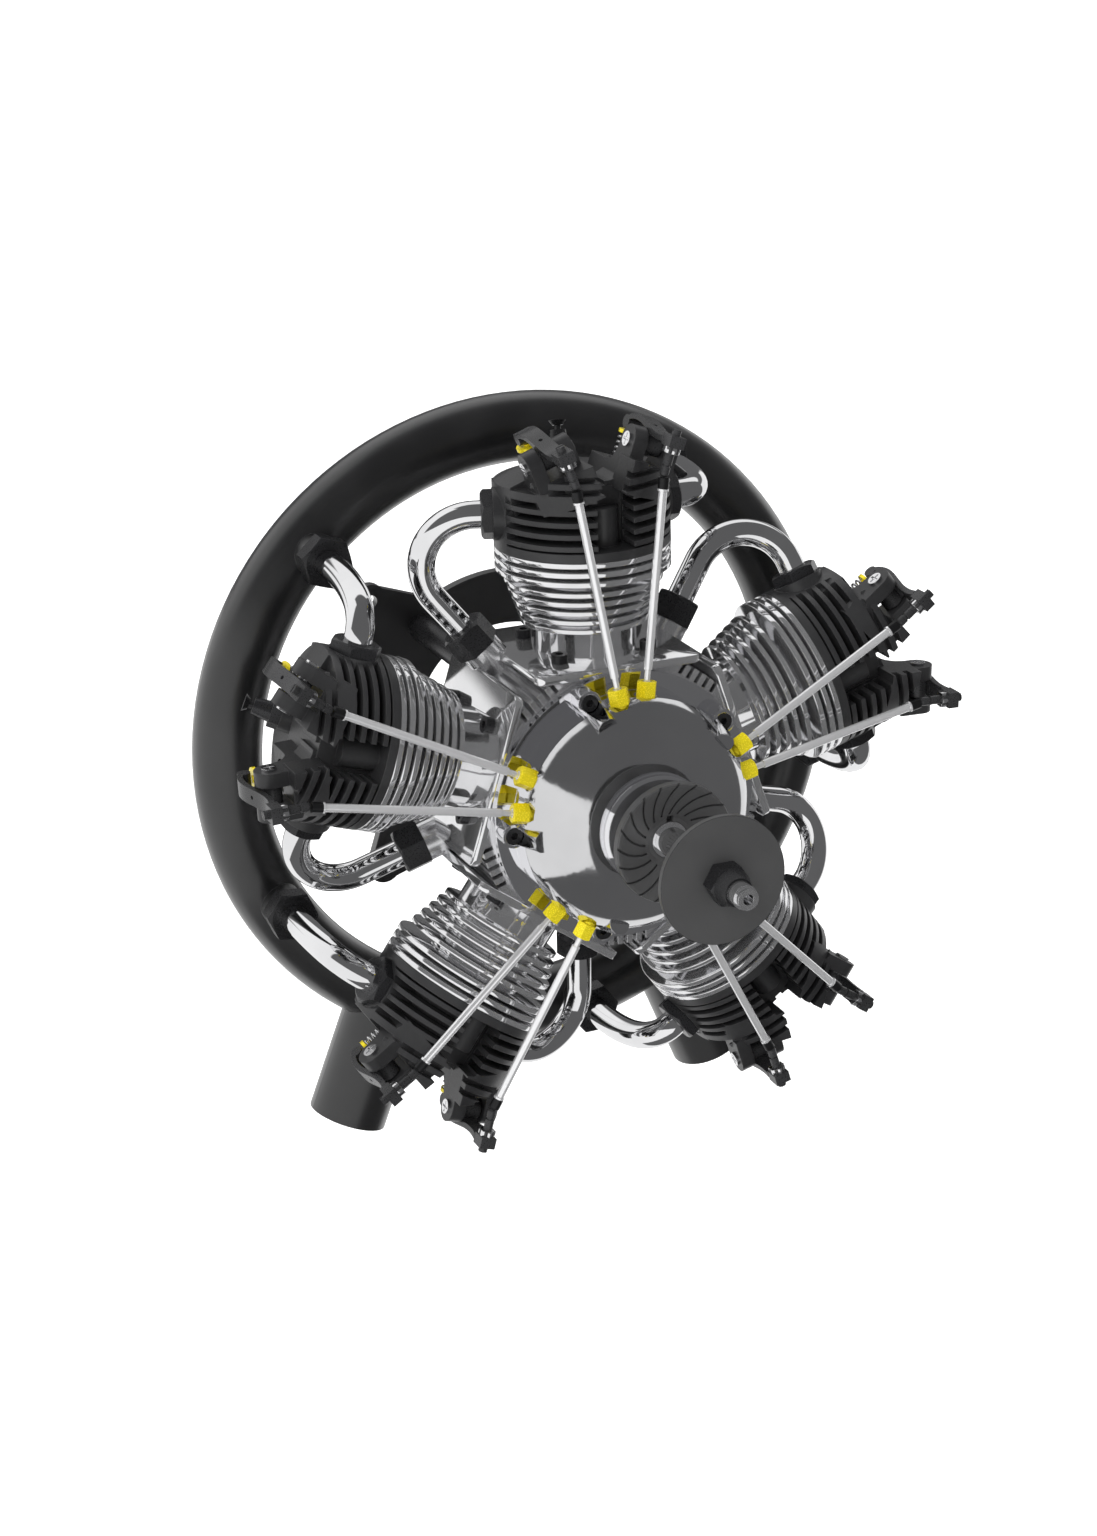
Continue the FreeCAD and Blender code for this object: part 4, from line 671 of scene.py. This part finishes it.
# Rockers and their shafts
# Machined steel rockers, blackened a little less than the screws, on chromed shafts with headed and
# slotted ends.
rocker_black = blackened_steel("blackened_rockers", (0.030, 0.030, 0.031, 1), (0.046, 0.046, 0.048, 1))
dress(rocker_black, *one_each("rocker"))
dress(chrome, "rocker_shafts")

# Locknuts
# A bright hexagon under each rocker's adjusting block, a shade larger than the plain one it covers,
# with all its edges broken.
adjuster_reach = {"intake": 0.0173, "exhaust": 0.0153}
locknut_flats = 0.0050
locknut_cover = 1.015
locknut_corner = locknut_flats / math.sqrt(3) * locknut_cover
locknut_top = 0.00252
locknut_bottom = 0.00038
locknut_edge = 0.0002


def locknut(kind, number):
    bm = bmesh.new()
    bmesh.ops.create_circle(bm, cap_ends=True, segments=6, radius=locknut_corner)
    prism(bm, locknut_top - locknut_bottom)
    broken(bm, list(bm.edges), locknut_edge)
    place = Matrix.Translation((0, -adjuster_reach[kind], locknut_bottom))
    bm.transform(rocker_frame(kind, number) @ place)
    label = f"{kind}_{number + 1}"
    finished(bm, "locknut_" + label, "rocker_" + label, chrome)


for kind in sides:
    for number in range(cylinder_count):
        locknut(kind, number)

# Push rods
# Chromed tube with a ground tip in the tappet guide, and a black collar under the rocker's ball,
# which the distance from the crank axis tells apart.
collar_start = 0.1062


def pushrod_finish():
    finish = Finish("pushrod_chrome", 0.68, 0.0001)
    tree = finish.tree
    radius = group_node(tree, place_round_shaft).outputs["Radius"]
    collar = soft_step(tree, radius, collar_start, collar_start + finish_join)
    finish.link(mixed(tree, collar, (0.88, 0.88, 0.89, 1), (0.02, 0.02, 0.021, 1)), "Base Color")
    duller = math_node(tree, "MULTIPLY", collar, 0.25)
    finish.link(math_node(tree, "ADD", finish.roughness(0.03, 0.06), duller), "Roughness")
    return finish.material


dress(pushrod_finish(), *one_each("pushrod"))

# Propeller driver and washer
# Turned from aluminium with a satin grey finish. The edges and the roots of the driver's grooves are
# painted near black, as painted shade for the deep, narrow grooves.
satin_metal = bright_metal("satin_metal", (0.088, 0.088, 0.089, 1), (0.098, 0.098, 0.099, 1), 0.34, 0.44,
                           metallic=0.4, edge=0.0004, edge_wear_and_shade_tone=(0.004, 0.004, 0.004, 1), edge_wear_and_shade_strength=5.0)
dress(satin_metal, "prop_driver", "prop_washer")

# Floor
# A plain pale floor some way under the engine. Its glow, which only the camera sees, lifts it to the
# white of the photograph's ground. Metal mirrors the studio through it.
floor_drop = 0.03
floor_half = 8.0
bm = bmesh.new()
bmesh.ops.create_grid(bm, x_segments=1, y_segments=1, size=floor_half)
floor_mesh = bpy.data.meshes.new("floor")
bm.to_mesh(floor_mesh)
bm.free()
floor_mesh.transform(Matrix.Translation((0, 0, cad_box[0][2] - floor_drop)))
floor = bpy.data.objects.new("floor", floor_mesh)
bpy.context.scene.collection.objects.link(floor)
floor_paper = bpy.data.materials.new("floor_paper")
floor_paper.use_nodes = True
tree = floor_paper.node_tree
paper = tree.nodes["Principled BSDF"]
paper.inputs["Base Color"].default_value = (0.86, 0.86, 0.86, 1)
paper.inputs["Roughness"].default_value = 0.9
paper.inputs["Specular IOR Level"].default_value = 0.0
glow = tree.nodes.new("ShaderNodeEmission")
glow.inputs["Strength"].default_value = 0.56
dark = tree.nodes.new("ShaderNodeEmission")
dark.inputs["Strength"].default_value = 0.0
rays = tree.nodes.new("ShaderNodeLightPath")
choice = tree.nodes.new("ShaderNodeMixShader")
tree.links.new(rays.outputs["Is Camera Ray"], choice.inputs[0])
tree.links.new(dark.outputs[0], choice.inputs[1])
tree.links.new(glow.outputs[0], choice.inputs[2])
both = tree.nodes.new("ShaderNodeAddShader")
tree.links.new(paper.outputs[0], both.inputs[0])
tree.links.new(choice.outputs[0], both.inputs[1])
clear = tree.nodes.new("ShaderNodeBsdfTransparent")
sight = tree.nodes.new("ShaderNodeMixShader")
tree.links.new(rays.outputs["Is Glossy Ray"], sight.inputs[0])
tree.links.new(both.outputs[0], sight.inputs[1])
tree.links.new(clear.outputs[0], sight.inputs[2])
tree.links.new(sight.outputs[0], tree.nodes["Material Output"].inputs["Surface"])
floor_mesh.materials.append(floor_paper)

# Studio
# White for the camera. What metal mirrors is a grey room with white cards: one low on the left in
# front, one overhead, one on the left behind, one low behind and a narrow one on the right.
world = bpy.data.worlds.new("studio")
bpy.context.scene.world = world
world.use_nodes = True
tree = world.node_tree
background = tree.nodes["Background"]
direction = tree.nodes.new("ShaderNodeTexCoord")
split = tree.nodes.new("ShaderNodeSeparateXYZ")
tree.links.new(direction.outputs["Generated"], split.inputs[0])
ray_x, ray_y, ray_z = split.outputs


def card(*sides_of_card):
    """White card with slightly soft sides, each a value that passes from outside to inside."""
    inside = 1.0
    for value, outside, within in sides_of_card:
        inside = math_node(tree, "MULTIPLY", inside, soft_step(tree, value, outside, within))
    return inside


def leaning(slope):
    """Height of a ray against a line that leans to the left or right."""
    return math_node(tree, "ADD", ray_z, math_node(tree, "MULTIPLY", ray_x, slope))


cards = card((ray_x, 0.12, 0.09), (leaning(0.55), -0.13, -0.16), (leaning(-0.38), -0.55, -0.52))
for other in (card((ray_z, 0.42, 0.48), (ray_y, 0.27, 0.33)),
              card((ray_x, -0.25, -0.32), (ray_y, 0.05, 0.12), (ray_z, 0.16, 0.24)),
              card((ray_z, -0.42, -0.48), (ray_y, 0.12, 0.18)),
              card((ray_x, 0.55, 0.60), (ray_z, 0.25, 0.20), (ray_y, 0.17, 0.23))):
    cards = math_node(tree, "MAXIMUM", cards, other)
tone = mixed(tree, cards, (0.120, 0.120, 0.122, 1), (0.95, 0.95, 0.95, 1))
rays = tree.nodes.new("ShaderNodeLightPath")
mirrored = mixed(tree, rays.outputs["Is Glossy Ray"], (0.62, 0.62, 0.62, 1), tone)
seen = mixed(tree, rays.outputs["Is Camera Ray"], mirrored, (1.0, 1.0, 1.0, 1))
tree.links.new(seen, background.inputs["Color"])
background.inputs["Strength"].default_value = 1.0

# Lamps
# A large soft lamp from the upper left in front, a weaker one from the right and one above and
# behind for the ring's rim. Metal mirrors the cards and not the lamps.
lamp_target = Vector((0, -0.05, 0))


def soft_lamp(name, location, size, power):
    data = bpy.data.lights.new(name, "AREA")
    data.shape = "RECTANGLE"
    data.size, data.size_y = size
    data.energy = power
    lamp = bpy.data.objects.new(name, data)
    lamp.visible_glossy = False
    lamp.location = location
    lamp.rotation_euler = (lamp_target - Vector(location)).to_track_quat("-Z", "Y").to_euler()
    bpy.context.scene.collection.objects.link(lamp)


soft_lamp("key_lamp", (-1.3, -1.1, 1.3), (0.9, 1.2), 26)
soft_lamp("fill_lamp", (1.5, -1.0, 0.8), (0.5, 1.4), 9)
soft_lamp("top_lamp", (0.1, 0.6, 1.7), (1.4, 0.5), 14)

# Camera
# The photograph's point of view: a little to the engine's left, looking down on it, with a slight
# roll. The lens follows from the photograph's focal length in pixels of its long side.
view_azimuth = math.radians(-21.86)
view_elevation = math.radians(19.67)
view_roll = math.radians(-1.86)
eye = Vector((-0.3803, -0.9888, 0.3569))
film_width = 36.0
focal_pixels = 3128.8
photo_height = 1536
back = Vector((math.sin(view_azimuth) * math.cos(view_elevation),
               -math.cos(view_azimuth) * math.cos(view_elevation),
               math.sin(view_elevation)))
level_right = (-back).cross(Vector((0, 0, 1))).normalized()
level_up = level_right.cross(-back)
right = level_right * math.cos(view_roll) + level_up * math.sin(view_roll)
up = level_up * math.cos(view_roll) - level_right * math.sin(view_roll)
camera_data = bpy.data.cameras.new("camera")
camera_data.sensor_width = film_width
camera_data.lens = film_width * focal_pixels / photo_height
camera_data.clip_start = 0.05
camera_data.clip_end = 40.0
camera = bpy.data.objects.new("camera", camera_data)
axes = Matrix((right, up, back)).transposed().to_4x4()
camera.matrix_world = Matrix.Translation(eye) @ axes
bpy.context.scene.collection.objects.link(camera)
bpy.context.scene.camera = camera
bpy.context.scene.view_settings.view_transform = "Standard"
